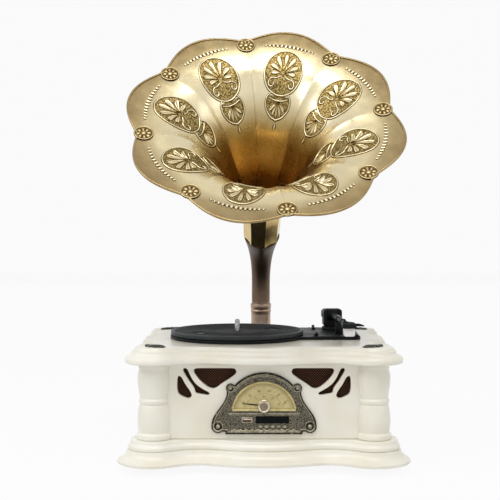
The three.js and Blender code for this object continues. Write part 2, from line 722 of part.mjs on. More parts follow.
// An open cone in its basket, with the magnet behind; turned about an axis that lies along Y.
function speakerPiece(side) {
  const shares = [
    [0, 0.24], [0.3, 0.34], [0.8, 0.06], [0.9, 0], [1, 0], [1, 0.12], [0.88, 0.14], [0.5, 0.6],
    [0.62, 0.62], [0.62, 1], [0, 1],
  ];
  const profile = shares.map(([out, back]) => [SPEAKER_RADIUS * out, -SPEAKER_DEPTH * back]);
  return turned(profile, STEPS.medium).rotateX(QUARTER_TURN)
    .translate(side * SPEAKER_X, SPEAKER_Y, SPEAKER_Z);
}

// Radio plate, dial and controls

const PLATE_BACK_Y = FRONT_FACE_Y - SEAT_GAP;
const PLATE_FRONT_Y = PLATE_BACK_Y - PLATE_THICKNESS;
const KNOB_Z = PLATE_BOTTOM + KNOB_RISE;
const BOARD_FRONT_Y = FRONT_BACK_Y + BOARD_SET_BACK;

// The right half of the outline from the sill's middle to the crown, then its mirror image.
function radioPlateShape() {
  const earLow = [LOWER_EAR_X, PLATE_BOTTOM + LOWER_EAR_RISE];
  const earHigh = [UPPER_EAR_X, PLATE_BOTTOM + UPPER_EAR_RISE];
  const crown = [0, PLATE_BOTTOM + PLATE_ARCH_RISE];
  const half = new THREE.Path();
  half.moveTo(0, PLATE_BOTTOM);
  half.lineTo(PLATE_HALF_WIDTH, PLATE_BOTTOM);
  half.lineTo(PLATE_HALF_WIDTH, PLATE_BOTTOM + LOWER_EAR_RISE - LOWER_EAR_RADIUS * 0.8);
  half.absarc(...earLow, LOWER_EAR_RADIUS, LOWER_EAR_FROM, LOWER_EAR_TO, false);
  const from = half.currentPoint;
  const onEar = (angle) => [
    earHigh[0] + UPPER_EAR_RADIUS * Math.cos(angle), earHigh[1] + UPPER_EAR_RADIUS * Math.sin(angle)];
  const to = onEar(UPPER_EAR_FROM);
  const rise = to[1] - from.y;
  half.bezierCurveTo(from.x, from.y + rise * 0.4, to[0], to[1] - rise * 0.45, ...to);
  half.absarc(...earHigh, UPPER_EAR_RADIUS, UPPER_EAR_FROM, UPPER_EAR_TO, false);
  half.absarc(...crown, PLATE_ARCH_RADIUS, PLATE_ARCH_FROM, QUARTER_TURN, false);
  const right = half.getPoints(STEPS.small * 0.7);
  const left = right.slice(1, -1).reverse().map((point) => new THREE.Vector2(-point.x, point.y));
  return new THREE.Shape([...right, ...left]);
}

// A circle's upper part above a sill, as the dial and its window have it.
function dialShape(radius, sillRise) {
  const sill = Math.asin((sillRise - DIAL_ARC_RISE) / radius);
  const shape = new THREE.Shape();
  shape.absarc(0, PLATE_BOTTOM + DIAL_ARC_RISE, radius, sill, HALF_TURN - sill, false);
  shape.closePath();
  return shape;
}

function aroundPoint(x, rise, width, height, clearance) {
  const z = PLATE_BOTTOM + rise;
  return rectangle(x - width / 2 - clearance, x + width / 2 + clearance,
    z - height / 2 - clearance, z + height / 2 + clearance);
}

const buttonPlaces = Array.from({ length: BUTTON_COUNT }, (_, i) => (
  DISPLAY_X + (i - (BUTTON_COUNT - 1) / 2) * BUTTON_PITCH));

function radioPlatePiece() {
  const plate = sheet(radioPlateShape(), PLATE_THICKNESS, PLATE_FRONT_Y);
  const proud = PLATE_THICKNESS + PLATE_RIM_HEIGHT;
  const rimY = PLATE_FRONT_Y - PLATE_RIM_HEIGHT;
  const bezel = sheet(dialShape(DIAL_RADIUS + PLATE_RIM_WIDTH, DIAL_SILL_RISE - PLATE_RIM_WIDTH),
    proud, rimY, STEPS.large);
  const sillPlate = sheet(rectangle(-PLATE_HALF_WIDTH + PLATE_RIM_WIDTH, PLATE_HALF_WIDTH - PLATE_RIM_WIDTH,
    PLATE_BOTTOM + PLATE_RIM_WIDTH, PLATE_BOTTOM + DIAL_SILL_RISE - PLATE_RIM_WIDTH * 2),
  PLATE_THICKNESS + PLATE_RIM_HEIGHT * 0.5, PLATE_FRONT_Y - PLATE_RIM_HEIGHT * 0.5);
  const bosses = [-1, 1].flatMap((side) => [
    [side * LOWER_EAR_X, LOWER_EAR_RISE], [side * UPPER_EAR_X, UPPER_EAR_RISE]]).map(([x, rise]) => (
    barAlongY(EAR_BOSS_RADIUS, EAR_BOSS_HEIGHT + PLATE_THICKNESS / 2, x, PLATE_FRONT_Y - EAR_BOSS_HEIGHT,
      PLATE_BOTTOM + rise, STEPS.small)));
  const through = PLATE_THICKNESS + PLATE_RIM_HEIGHT + 2 * CUT_OVERRUN;
  const behind = PLATE_FRONT_Y - PLATE_RIM_HEIGHT - CUT_OVERRUN;
  const holes = [
    sheet(dialShape(DIAL_RADIUS, DIAL_SILL_RISE), through, behind, STEPS.large),
    sheet(aroundPoint(USB_X, USB_RISE, USB_WIDTH, USB_HEIGHT, SEAT_GAP), through, behind),
    sheet(aroundPoint(DISPLAY_X, USB_RISE, DISPLAY_WIDTH, DISPLAY_HEIGHT, SEAT_GAP), through, behind),
    ...buttonPlaces.map((x) => sheet(aroundPoint(x, BUTTON_RISE, BUTTON_WIDTH, BUTTON_HEIGHT,
      BUTTON_CLEARANCE), through, behind)),
  ];
  return cut(join(plate, bezel, sillPlate, ...bosses), ...holes);
}

function dialFacePiece() {
  const face = sheet(dialShape(DIAL_RADIUS - SEAT_GAP, DIAL_SILL_RISE + SEAT_GAP), DIAL_THICKNESS,
    PLATE_FRONT_Y + DIAL_RECESS, STEPS.large);
  const bore = barAlongY(SPINDLE_RADIUS + SEAT_GAP, DIAL_THICKNESS + 2 * CUT_OVERRUN, 0,
    PLATE_FRONT_Y + DIAL_RECESS - CUT_OVERRUN, KNOB_Z);
  return cut(face, bore);
}

// The knob with its raised ring and sunk cap, on the spindle that runs back to the tuner.
function tuningKnobPiece() {
  const shares = [[KNOB_CAP_RADIUS / KNOB_RADIUS, 1], [0.88, 1], [1, 0.86], [0.97, 0.2], [1, 0.12], [1, 0]];
  const side = shares.map(([out, forward]) => [KNOB_RADIUS * out, KNOB_LENGTH * forward]);
  const cap = [KNOB_CAP_RADIUS, KNOB_LENGTH - KNOB_CAP_HEIGHT];
  const profile = [[0, cap[1]], cap, ...side, [SPINDLE_RADIUS, 0],
    [SPINDLE_RADIUS, -SPINDLE_LENGTH], [0, -SPINDLE_LENGTH]];
  return turned(profile, STEPS.medium).rotateX(QUARTER_TURN)
    .translate(0, PLATE_FRONT_Y - PLATE_RIM_HEIGHT - SEAT_GAP, KNOB_Z);
}

// The pointer blade with the ring that it turns by, on the knob's spindle in front of the dial.
function dialPointerPiece() {
  const hub = SPINDLE_RADIUS * 1.5;
  const blade = new THREE.Shape();
  blade.moveTo(-hub * 0.8, -POINTER_WIDTH);
  blade.lineTo(-hub * 0.8, POINTER_WIDTH);
  blade.lineTo(-POINTER_LENGTH, POINTER_WIDTH * 0.3);
  blade.lineTo(-POINTER_LENGTH, -POINTER_WIDTH * 0.3);
  blade.closePath();
  const bladeSolid = sheet(blade, POINTER_THICKNESS, 0);
  const ring = barAlongY(hub, POINTER_THICKNESS, 0, 0, 0);
  const bore = barAlongY(SPINDLE_RADIUS + SEAT_GAP * 0.5, POINTER_THICKNESS + 2 * CUT_OVERRUN, 0,
    -CUT_OVERRUN, 0);
  const pointer = cut(join(bladeSolid, ring), bore).rotateY(POINTER_START_ANGLE);
  const y = PLATE_FRONT_Y + DIAL_RECESS - SEAT_GAP - POINTER_THICKNESS;
  return pointer.translate(0, y, KNOB_Z);
}

function usbSocketPiece() {
  const shell = sheet(aroundPoint(USB_X, USB_RISE, USB_WIDTH, USB_HEIGHT, 0), USB_DEPTH, PLATE_FRONT_Y);
  const mouth = sheet(aroundPoint(USB_X, USB_RISE, USB_WIDTH, USB_HEIGHT, -USB_WALL),
    USB_DEPTH - USB_WALL + CUT_OVERRUN, PLATE_FRONT_Y - CUT_OVERRUN);
  const tongueRise = USB_RISE + USB_HEIGHT * 0.12;
  const tongue = sheet(aroundPoint(USB_X, tongueRise, USB_WIDTH * 0.7, USB_HEIGHT * 0.26, 0),
    USB_DEPTH - USB_WALL, PLATE_FRONT_Y + USB_WALL * 0.5);
  return join(cut(shell, mouth), tongue);
}

function displayWindowPiece() {
  return sheet(aroundPoint(DISPLAY_X, USB_RISE, DISPLAY_WIDTH, DISPLAY_HEIGHT, 0), DISPLAY_THICKNESS,
    PLATE_FRONT_Y);
}

// A push button: the cap in front, a flange that keeps it in, and the stem to its switch.
function buttonPiece(x) {
  const cap = sheet(aroundPoint(x, BUTTON_RISE, BUTTON_WIDTH, BUTTON_HEIGHT, 0),
    BUTTON_PROUD + PLATE_RIM_HEIGHT * 0.5 + PLATE_THICKNESS + PANEL_THICKNESS / 2,
    PLATE_FRONT_Y - PLATE_RIM_HEIGHT * 0.5 - BUTTON_PROUD);
  const flangeY = FRONT_FACE_Y + BUTTON_CLEARANCE;
  const flange = sheet(aroundPoint(x, BUTTON_RISE, BUTTON_WIDTH, BUTTON_HEIGHT, BUTTON_CLEARANCE * 2),
    BUTTON_PROUD, flangeY);
  const stemEnd = BOARD_FRONT_Y - SWITCH_HEIGHT - BUTTON_TRAVEL - BUTTON_CLEARANCE;
  const stem = barAlongY(BUTTON_HEIGHT / 2, stemEnd - flangeY, x, flangeY, PLATE_BOTTOM + BUTTON_RISE,
    STEPS.small);
  return join(cap, flange, stem);
}

// The circuit board on its four posts, with the tuner in front of it and the row of switches.
function circuitBoardPiece() {
  const low = PLATE_BOTTOM + CUT_OVERRUN;
  const board = sheet(rectangle(-BOARD_WIDTH / 2, BOARD_WIDTH / 2, low, low + BOARD_HEIGHT),
    BOARD_THICKNESS, BOARD_FRONT_Y);
  const posts = [-1, 1].flatMap((side) => [0.15, 0.85].map((share) => (
    barAlongY(POST_RADIUS, BOARD_SET_BACK - SEAT_GAP + BOARD_THICKNESS / 2,
      side * (BOARD_WIDTH / 2 - POST_RADIUS * 1.4), FRONT_BACK_Y + SEAT_GAP, low + BOARD_HEIGHT * share,
      STEPS.small))));
  const tunerDepth = BOARD_FRONT_Y - (PLATE_FRONT_Y - PLATE_RIM_HEIGHT - SEAT_GAP + SPINDLE_LENGTH);
  const tuner = sheet(rectangle(-TUNER_WIDTH / 2, TUNER_WIDTH / 2, KNOB_Z - TUNER_WIDTH / 3,
    KNOB_Z + TUNER_WIDTH / 8), tunerDepth - SEAT_GAP + BOARD_THICKNESS / 2,
  BOARD_FRONT_Y - tunerDepth + SEAT_GAP);
  const buttonZ = PLATE_BOTTOM + BUTTON_RISE;
  const switchRow = rectangle(buttonPlaces[0] - BUTTON_WIDTH, buttonPlaces[BUTTON_COUNT - 1] + BUTTON_WIDTH,
    buttonZ - BUTTON_HEIGHT, buttonZ + BUTTON_HEIGHT);
  const switches = sheet(switchRow, SWITCH_HEIGHT + BOARD_THICKNESS / 2, BOARD_FRONT_Y - SWITCH_HEIGHT);
  const screen = sheet(aroundPoint(DISPLAY_X, USB_RISE, DISPLAY_WIDTH, DISPLAY_HEIGHT, -SEAT_GAP),
    SWITCH_HEIGHT + BOARD_THICKNESS / 2, BOARD_FRONT_Y - SWITCH_HEIGHT);
  return join(board, ...posts, tuner, switches, screen);
}

// Turntable: deck with its well, platter with its belt rim, motor, pulley and belt

const DECK_LOW = LID_TOP + SEAT_GAP;
const WELL_FLOOR = LID_TOP - WELL_DEPTH + WELL_WALL;
const WEB_LOW = LID_TOP + PLATTER_LIFT;
const BEARING_LOW = WELL_FLOOR - WELL_WALL - BEARING_DEPTH / 2;
const PULLEY_DISTANCE = SUB_RIM_RADIUS + PULLEY_RADIUS + 3 * BELT_THICKNESS;
const PULLEY_X = PLATTER_X + PULLEY_DISTANCE * Math.cos(MOTOR_ANGLE);
const PULLEY_Y = PLATTER_Y + PULLEY_DISTANCE * Math.sin(MOTOR_ANGLE);
const BELT_LOW = WEB_LOW - SUB_RIM_DEPTH + BELT_THICKNESS;

function deckPiece() {
  const disc = bar(DECK_RADIUS, DECK_THICKNESS, PLATTER_X, PLATTER_Y, DECK_LOW, STEPS.platter);
  const plate = slab(softRectangle(DECK_PLATE_LEFT_X, DECK_PLATE_RIGHT_X, DECK_PLATE_FRONT_Y,
    DECK_PLATE_BACK_Y, DECK_CORNER), DECK_THICKNESS, DECK_LOW, STEPS.small / 3);
  const cup = bar(WELL_RADIUS + WELL_WALL, WELL_DEPTH + DECK_THICKNESS / 2, PLATTER_X, PLATTER_Y,
    LID_TOP - WELL_DEPTH, STEPS.platter);
  const hollow = bar(WELL_RADIUS, WELL_DEPTH + DECK_THICKNESS + CUT_OVERRUN, PLATTER_X, PLATTER_Y,
    WELL_FLOOR, STEPS.platter);
  const boss = bar(BEARING_RADIUS, BEARING_DEPTH, PLATTER_X, PLATTER_Y, BEARING_LOW);
  const bore = bar(PIN_RADIUS + PIN_CLEARANCE, BEARING_DEPTH, PLATTER_X, PLATTER_Y,
    BEARING_LOW + WELL_WALL / 2);
  const shaftHole = bar(MOTOR_SHAFT_RADIUS + SEAT_GAP, WELL_DEPTH, PULLEY_X, PULLEY_Y,
    WELL_FLOOR - WELL_DEPTH / 2, STEPS.small);
  const postHole = bar(ARM_POST_RADIUS + SEAT_GAP, WELL_DEPTH, ARM_X, ARM_Y, DECK_LOW - WELL_DEPTH / 2);
  const bossHoles = [SPEED_LEVER_Y, POWER_LEVER_Y].map((y) => (
    bar(LEVER_BOSS_RADIUS + SEAT_GAP, WELL_DEPTH, LEVER_X, y, DECK_LOW - WELL_DEPTH / 2, STEPS.small)));
  const shell = cut(join(disc, plate, cup), hollow);
  return cut(join(shell, boss), bore, shaftHole, postHole, ...bossHoles);
}

function platterPiece() {
  const rimIn = PLATTER_RADIUS - PLATTER_RIM_WIDTH;
  const chamfer = PLATTER_RIM_WIDTH * 0.3;
  const bore = PIN_RADIUS + PIN_CLEARANCE;
  const profile = [
    [bore, 0], [PLATTER_RADIUS - chamfer, 0], [PLATTER_RADIUS, chamfer],
    [PLATTER_RADIUS, PLATTER_RIM_HEIGHT - chamfer], [PLATTER_RADIUS - chamfer, PLATTER_RIM_HEIGHT],
    [rimIn + chamfer, PLATTER_RIM_HEIGHT], [rimIn, PLATTER_WEB], [bore, PLATTER_WEB],
  ];
  return turnedRing(profile, STEPS.platter).translate(PLATTER_X, PLATTER_Y, WEB_LOW);
}

// The inner platter under it: a hub on the bearing and the rim that the belt runs round.
function subPlatterPiece() {
  const bore = PIN_RADIUS + PIN_CLEARANCE;
  const hubLow = -SUB_RIM_DEPTH / 2;
  const rimIn = SUB_RIM_RADIUS - SUB_RIM_WALL;
  const profile = [
    [bore, hubLow], [HUB_RADIUS, hubLow], [HUB_RADIUS, -SUB_WEB], [rimIn, -SUB_WEB],
    [rimIn, -SUB_RIM_DEPTH], [SUB_RIM_RADIUS, -SUB_RIM_DEPTH], [SUB_RIM_RADIUS, 0], [bore, 0],
  ];
  return turnedRing(profile, STEPS.platter).translate(PLATTER_X, PLATTER_Y, WEB_LOW - SEAT_GAP);
}

// The rubber mat, with two windows.
function matPiece() {
  const outer = PLATTER_RADIUS - PLATTER_RIM_WIDTH - MAT_THICKNESS;
  const low = WEB_LOW + PLATTER_WEB + SEAT_GAP;
  const high = MAT_THICKNESS - SEAT_GAP;
  const inner = PIN_RADIUS + 2 * SEAT_GAP;
  const mat = turnedRing([[inner, 0], [outer, 0], [outer, high], [inner, high]], STEPS.platter);
  const windows = [MAT_WINDOW_TURN, MAT_WINDOW_TURN + HALF_TURN].map((middle) => {
    const shape = new THREE.Shape();
    const from = middle - MAT_WINDOW_SPREAD;
    const to = middle + MAT_WINDOW_SPREAD;
    shape.absarc(0, 0, outer * 0.76, from, to, false);
    shape.absarc(0, 0, outer * 0.58, to, from, true);
    shape.closePath();
    return slab(shape, high + 2 * CUT_OVERRUN, -CUT_OVERRUN, STEPS.small / 2);
  });
  return cut(mat, ...windows).translate(PLATTER_X, PLATTER_Y, low);
}

function centrePinPiece() {
  const low = BEARING_LOW + WELL_WALL / 2 + SEAT_GAP;
  const top = MAT_TOP + PIN_PROUD;
  const profile = [[0, low], [PIN_RADIUS, low], [PIN_RADIUS, top - PIN_RADIUS], [PIN_RADIUS * 0.45, top],
    [0, top]];
  return turned(profile, STEPS.medium).translate(PLATTER_X, PLATTER_Y, 0);
}

// The belt's inner or outer line: round the platter's lower rim, then round the pulley.
function beltShape(thicknessOut) {
  const big = SUB_RIM_RADIUS + SEAT_GAP + thicknessOut;
  const small = PULLEY_RADIUS + SEAT_GAP + thicknessOut;
  const spread = Math.acos((big - small) / PULLEY_DISTANCE);
  const round = new THREE.Path();
  round.absarc(PLATTER_X, PLATTER_Y, big, MOTOR_ANGLE + spread, MOTOR_ANGLE - spread + FULL_TURN, false);
  const turn = new THREE.Path();
  turn.absarc(PULLEY_X, PULLEY_Y, small, MOTOR_ANGLE - spread, MOTOR_ANGLE + spread, false);
  return new THREE.Shape([...round.getPoints(STEPS.platter / 2), ...turn.getPoints(STEPS.small / 2)]);
}

function beltPiece() {
  const loop = beltShape(BELT_THICKNESS);
  loop.holes.push(beltShape(0));
  return slab(loop, BELT_WIDTH, BELT_LOW);
}

// The pulley between its flanges, on the motor's shaft.
function pulleyPiece() {
  const flange = PULLEY_RADIUS + PULLEY_FLANGE;
  const low = BELT_LOW - PULLEY_FLANGE - SEAT_GAP;
  const high = BELT_LOW + BELT_WIDTH + PULLEY_FLANGE + SEAT_GAP;
  const shaftLow = LID_TOP - WELL_DEPTH;
  const profile = [
    [0, shaftLow], [MOTOR_SHAFT_RADIUS, shaftLow], [MOTOR_SHAFT_RADIUS, low], [flange, low],
    [flange, low + PULLEY_FLANGE], [PULLEY_RADIUS, low + PULLEY_FLANGE],
    [PULLEY_RADIUS, high - PULLEY_FLANGE], [flange, high - PULLEY_FLANGE], [flange, high], [0, high],
  ];
  return turned(profile, STEPS.medium).translate(PULLEY_X, PULLEY_Y, 0);
}

function motorPiece() {
  const top = LID_TOP - WELL_DEPTH - SEAT_GAP;
  return bar(MOTOR_RADIUS, MOTOR_HEIGHT, PULLEY_X, PULLEY_Y, top - MOTOR_HEIGHT, STEPS.medium);
}

// A flat lever with a small upright grip, on a boss that turns in the deck.
function leverPiece(y, angle) {
  const low = DECK_LOW + DECK_THICKNESS + SEAT_GAP;
  const boss = bar(LEVER_BOSS_RADIUS, LEVER_BOSS_DEPTH, 0, 0, low - LEVER_BOSS_DEPTH + LEVER_THICKNESS / 2,
    STEPS.small);
  const half = LEVER_WIDTH / 2;
  const outline = softRectangle(-LEVER_BOSS_RADIUS, LEVER_LENGTH, -half, half, half);
  const arm = slab(outline, LEVER_THICKNESS, low, 3);
  const grip = bar(half * 0.83, LEVER_KNOB_HEIGHT, LEVER_LENGTH - half, 0, low, STEPS.small);
  return join(boss, arm, grip).rotateZ(angle).translate(LEVER_X, y, 0);
}

// Tonearm: everything that swings is drawn pointing to -Y about the post, then turned to its rest

const ARM_BASE_LOW = DECK_LOW + DECK_THICKNESS + SEAT_GAP;
const YOKE_LOW = ARM_BASE_LOW + ARM_BASE_HEIGHT + SEAT_GAP;
const ARM_Z = YOKE_LOW + ARM_PIVOT_RISE;
const STYLUS_Z = MAT_TOP + STYLUS_RISE;
const HEADSHELL_LOW = ARM_Z - HEADSHELL_DROP;

function atArm(geometry) {
  return geometry.rotateZ(ARM_REST_ANGLE).translate(ARM_X, ARM_Y, 0);
}

function armBasePiece() {
  const bore = ARM_STUB_RADIUS + SEAT_GAP;
  const profile = [
    [bore, 0], [ARM_BASE_RADIUS, 0], [ARM_BASE_RADIUS, ARM_BASE_HEIGHT * 0.7],
    [ARM_BASE_RADIUS - ARM_BASE_HEIGHT * 0.3, ARM_BASE_HEIGHT], [bore, ARM_BASE_HEIGHT],
  ];
  return turnedRing(profile, STEPS.medium).translate(ARM_X, ARM_Y, ARM_BASE_LOW);
}

// The fork that swings on the base: a floor with two walls, and the stub that turns in the base.
function armYokePiece() {
  const half = YOKE_WIDTH / 2;
  const top = YOKE_LOW + YOKE_HEIGHT;
  const body = sheet(softPolygon([[-half, YOKE_LOW], [half, YOKE_LOW], [half, top], [-half, top]],
    YOKE_WALL * 0.8), YOKE_DEPTH, -YOKE_DEPTH / 2, 3);
  const slot = block(YOKE_WIDTH - 2 * YOKE_WALL, YOKE_DEPTH + 2 * CUT_OVERRUN, YOKE_HEIGHT, 0, 0,
    YOKE_LOW + YOKE_FLOOR);
  const stubLow = YOKE_LOW + YOKE_FLOOR / 2 - ARM_BASE_HEIGHT * 2;
  const stub = bar(ARM_STUB_RADIUS, ARM_BASE_HEIGHT * 2, 0, 0, stubLow, STEPS.small);
  const pinHole = barAlongY(ARM_PIVOT_RADIUS + PIN_CLEARANCE, YOKE_WIDTH + 2 * CUT_OVERRUN, 0, 0, 0)
    .rotateZ(-QUARTER_TURN).translate(-half - CUT_OVERRUN, 0, ARM_Z);
  return atArm(cut(join(cut(body, slot), stub), pinHole));
}

// The arm: its block with the pivot pins, the tube, the headshell with its finger lift, the tail.
function tonearmPiece() {
  const inner = YOKE_WIDTH - 2 * YOKE_WALL - 2 * SEAT_GAP;
  const round = YOKE_DEPTH * 0.45;
  const hood = new THREE.Shape();
  hood.absarc(0, 0, round, -HALF_TURN, 0, false);
  hood.lineTo(round, round * 0.7);
  hood.quadraticCurveTo(round, round, round * 0.6, round);
  hood.lineTo(-round * 0.6, round);
  hood.quadraticCurveTo(-round, round, -round, round * 0.7);
  hood.closePath();
  const core = sheet(hood, inner, -inner / 2, STEPS.small / 2).rotateZ(QUARTER_TURN).translate(0, 0, ARM_Z);
  const pins = barAlongY(ARM_PIVOT_RADIUS, YOKE_WIDTH, 0, 0, 0).rotateZ(-QUARTER_TURN)
    .translate(-YOKE_WIDTH / 2, 0, ARM_Z);
  const shellBack = -(ARM_LENGTH - HEADSHELL_LENGTH * 0.7);
  const tube = barAlongY(ARM_TUBE_RADIUS, -shellBack + ARM_TAIL + WEIGHT_LENGTH, 0,
    shellBack - ARM_TUBE_RADIUS, ARM_Z, STEPS.small);
  const halfShell = HEADSHELL_WIDTH / 2;
  const shellShape = softPolygon([
    [-halfShell * 0.55, shellBack + ARM_TUBE_RADIUS], [-halfShell, shellBack - HEADSHELL_LENGTH * 0.3],
    [-halfShell, shellBack - HEADSHELL_LENGTH], [halfShell, shellBack - HEADSHELL_LENGTH],
    [halfShell, shellBack - HEADSHELL_LENGTH * 0.3], [halfShell * 0.55, shellBack + ARM_TUBE_RADIUS]],
  FINGER_LIFT_WIDTH);
  const shell = slab(shellShape, HEADSHELL_HEIGHT, HEADSHELL_LOW, 3);
  const liftX = halfShell + FINGER_LIFT_LENGTH * 0.4;
  const lift = block(FINGER_LIFT_LENGTH, FINGER_LIFT_WIDTH, FINGER_LIFT_THICKNESS, liftX,
    FINGER_LIFT_WIDTH - ARM_LENGTH, HEADSHELL_LOW + FINGER_LIFT_THICKNESS);
  const spike = bar(STYLUS_RADIUS * 2, HEADSHELL_HEIGHT * 1.9, -halfShell * 0.5, shellBack
    - HEADSHELL_LENGTH * 0.4, HEADSHELL_LOW, STEPS.small / 2);
  return atArm(join(core, pins, tube, shell, lift, spike));
}

function counterweightPiece() {
  const half = WEIGHT_WIDTH / 2;
  const tall = WEIGHT_HEIGHT / 2;
  const end = softRectangle(-half, half, -tall, tall, WEIGHT_CORNER);
  const body = sheet(end, WEIGHT_LENGTH, WEIGHT_OFFSET, 3);
  const bore = barAlongY(ARM_TUBE_RADIUS + SEAT_GAP, WEIGHT_LENGTH + 2 * CUT_OVERRUN, 0,
    WEIGHT_OFFSET - CUT_OVERRUN, 0, STEPS.small);
  return atArm(cut(body, bore).translate(0, 0, ARM_Z));
}

// The cartridge under the headshell, with the stylus at its front.
function cartridgePiece() {
  const top = HEADSHELL_LOW - SEAT_GAP;
  const low = top - CARTRIDGE_HEIGHT;
  const back = -(ARM_LENGTH - CARTRIDGE_LENGTH * 0.7);
  const middle = back - CARTRIDGE_LENGTH / 2;
  const body = block(CARTRIDGE_WIDTH, CARTRIDGE_LENGTH, CARTRIDGE_HEIGHT, 0, middle, low);
  const tip = new THREE.ConeGeometry(STYLUS_RADIUS * 2, low - STYLUS_Z + CUT_OVERRUN, STEPS.small / 2)
    .rotateX(-QUARTER_TURN).translate(0, -ARM_LENGTH, (low + CUT_OVERRUN + STYLUS_Z) / 2);
  return atArm(join(body, tip));
}

// The stylus guard: a cup, narrower below, that slides on over the front of the cartridge.
function stylusGuardPiece() {
  const top = HEADSHELL_LOW - 2 * SEAT_GAP;
  const low = STYLUS_Z - GUARD_WALL - SEAT_GAP;
  const front = -(ARM_LENGTH + CARTRIDGE_LENGTH * 0.3 + SEAT_GAP + GUARD_WALL);
  const half = GUARD_WIDTH / 2;
  const cup = sheet(softPolygon([[-half + GUARD_FLARE, low], [half - GUARD_FLARE, low],
    [half, low + GUARD_FLARE * 2], [half, top], [-half, top], [-half, low + GUARD_FLARE * 2]],
  GUARD_WALL), GUARD_LENGTH, front, 2);
  const floor = HEADSHELL_LOW - SEAT_GAP - CARTRIDGE_HEIGHT - SEAT_GAP;
  const room = block(GUARD_WIDTH - 2 * GUARD_WALL, GUARD_LENGTH, top - low, 0,
    front + GUARD_WALL + GUARD_LENGTH / 2, floor);
  const slot = block(GUARD_WIDTH / 2, GUARD_LENGTH, top - low, 0,
    front + GUARD_WALL + GUARD_LENGTH / 2, low + GUARD_WALL);
  return atArm(cut(cup, room, slot));
}

// The rest that carries the parked arm: a pillar with a saddle and a horn on the outer side.
function armRestPiece() {
  const along = ARM_Y - ARM_REST_Y;
  const saddle = ARM_Z - ARM_TUBE_RADIUS - ARM_REST_GAP;
  const low = ARM_BASE_LOW;
  const hookX = ARM_TUBE_RADIUS + ARM_REST_GAP + ARM_REST_HORN_WIDTH / 2;
  const pillar = bar(ARM_REST_RADIUS, saddle - low, 0, -along, low, STEPS.small);
  const hookHeight = saddle + ARM_REST_HORN - low;
  const hook = block(ARM_REST_HORN_WIDTH, ARM_REST_WIDTH, hookHeight, hookX, -along, low);
  const footWidth = hookX + ARM_REST_HORN_WIDTH / 2 + ARM_REST_RADIUS;
  const footX = footWidth / 2 - ARM_REST_RADIUS;
  const foot = block(footWidth, ARM_REST_WIDTH, ARM_REST_FOOT, footX, -along, low);
  return atArm(join(pillar, hook, foot));
}

const CUE_PIVOT_Z = DECK_LOW + DECK_THICKNESS + CUE_BLOCK_HEIGHT * 0.55;

// The bracket of the cue lever: a thin floor and two ears with the holes of its pin.
function cueBracketPiece() {
  const low = ARM_BASE_LOW;
  const floor = block(CUE_BLOCK_WIDTH + 2 * CUE_EAR, CUE_BLOCK_LENGTH, CUE_FLOOR, CUE_X, CUE_Y, low);
  const ears = [-1, 1].map((side) => block(CUE_EAR, CUE_BLOCK_LENGTH, CUE_BLOCK_HEIGHT,
    CUE_X + side * (CUE_BLOCK_WIDTH + CUE_EAR) / 2, CUE_Y, low));
  const hole = barAlongY(CUE_RADIUS * 0.6 + 2 * PIN_CLEARANCE, CUE_BLOCK_WIDTH + 4 * CUE_EAR, 0, 0, 0)
    .rotateZ(-QUARTER_TURN).translate(CUE_X - CUE_BLOCK_WIDTH / 2 - 2 * CUE_EAR, CUE_Y, CUE_PIVOT_Z);
  return cut(join(floor, ...ears), hole);
}

function cueLeverPiece() {
  const hub = barAlongY(CUE_RADIUS * 1.4, CUE_BLOCK_WIDTH - 2 * SEAT_GAP, 0, 0, 0, STEPS.small)
    .rotateZ(-QUARTER_TURN).translate(-CUE_BLOCK_WIDTH / 2 + SEAT_GAP, 0, 0);
  const pin = barAlongY(CUE_RADIUS * 0.6, CUE_BLOCK_WIDTH + 2 * CUE_EAR, 0, 0, 0, STEPS.small)
    .rotateZ(-QUARTER_TURN).translate(-CUE_BLOCK_WIDTH / 2 - CUE_EAR, 0, 0);
  const rod = barAlongY(CUE_RADIUS, CUE_LENGTH, 0, -CUE_LENGTH, 0, STEPS.small);
  const grip = barAlongY(CUE_RADIUS * 1.5, CUE_LENGTH * 0.3, 0, -CUE_LENGTH, 0, STEPS.small);
  return join(hub, pin, rod, grip).rotateX(-CUE_START_ANGLE).translate(CUE_X, CUE_Y, CUE_PIVOT_Z);
}

// Horn: drawn with its axis along Z, from the neck's joint at the origin to the rim, then tilted

const BELL_START = NECK_LENGTH;
const SEAM_ANGLE = FULL_TURN / PETAL_COUNT;

// The radius and height of a point of the horn's wall. The share runs from the throat, 0, to the
// rim, 1. Across each petal the section goes over from the neck's flat facet to the rim's lobe.
function bellPoint(radius, height, share, turn, notchDepth) {
  const across = ((turn / SEAM_ANGLE) % 1 + 1) % 1;
  const facet = 1 / Math.cos((across - 0.5) * SEAM_ANGLE) - 1;
  const seam = 1 - Math.sin(Math.PI * across) ** 1.26;
  const flat = Math.max(0, 1 - share * 1.6);
  const depth = notchDepth * Math.max(0, (share - 0.18) / 0.82) ** 1.5;
  const crease = radius * CREASE_SHARE * Math.sin(Math.PI * share) * seam ** 3;
  const out = radius * (1 + facet * flat) - depth * seam - crease;
  const drop = NOTCH_SET_BACK * seam * share ** 4;
  return new THREE.Vector3(out * Math.cos(turn), out * Math.sin(turn), height - drop);
}

// The flare from throat to rim, as shares of the bell's length and of its gain in radius.
const flareShares = [
  [0, 0], [0.17, 0.05], [0.35, 0.125], [0.54, 0.21], [0.695, 0.32], [0.81, 0.438], [0.887, 0.56],
  [0.94, 0.69], [0.976, 0.845], [1, 1],
];

function flareCurve() {
  const gain = PETAL_RADIUS - BELL_THROAT_RADIUS;
  return flareShares.map(([along, out]) => {
    const height = BELL_START + BELL_LENGTH * along;
    const radius = BELL_THROAT_RADIUS + gain * out;
    return { share: along, out, height, radius };
  });
}

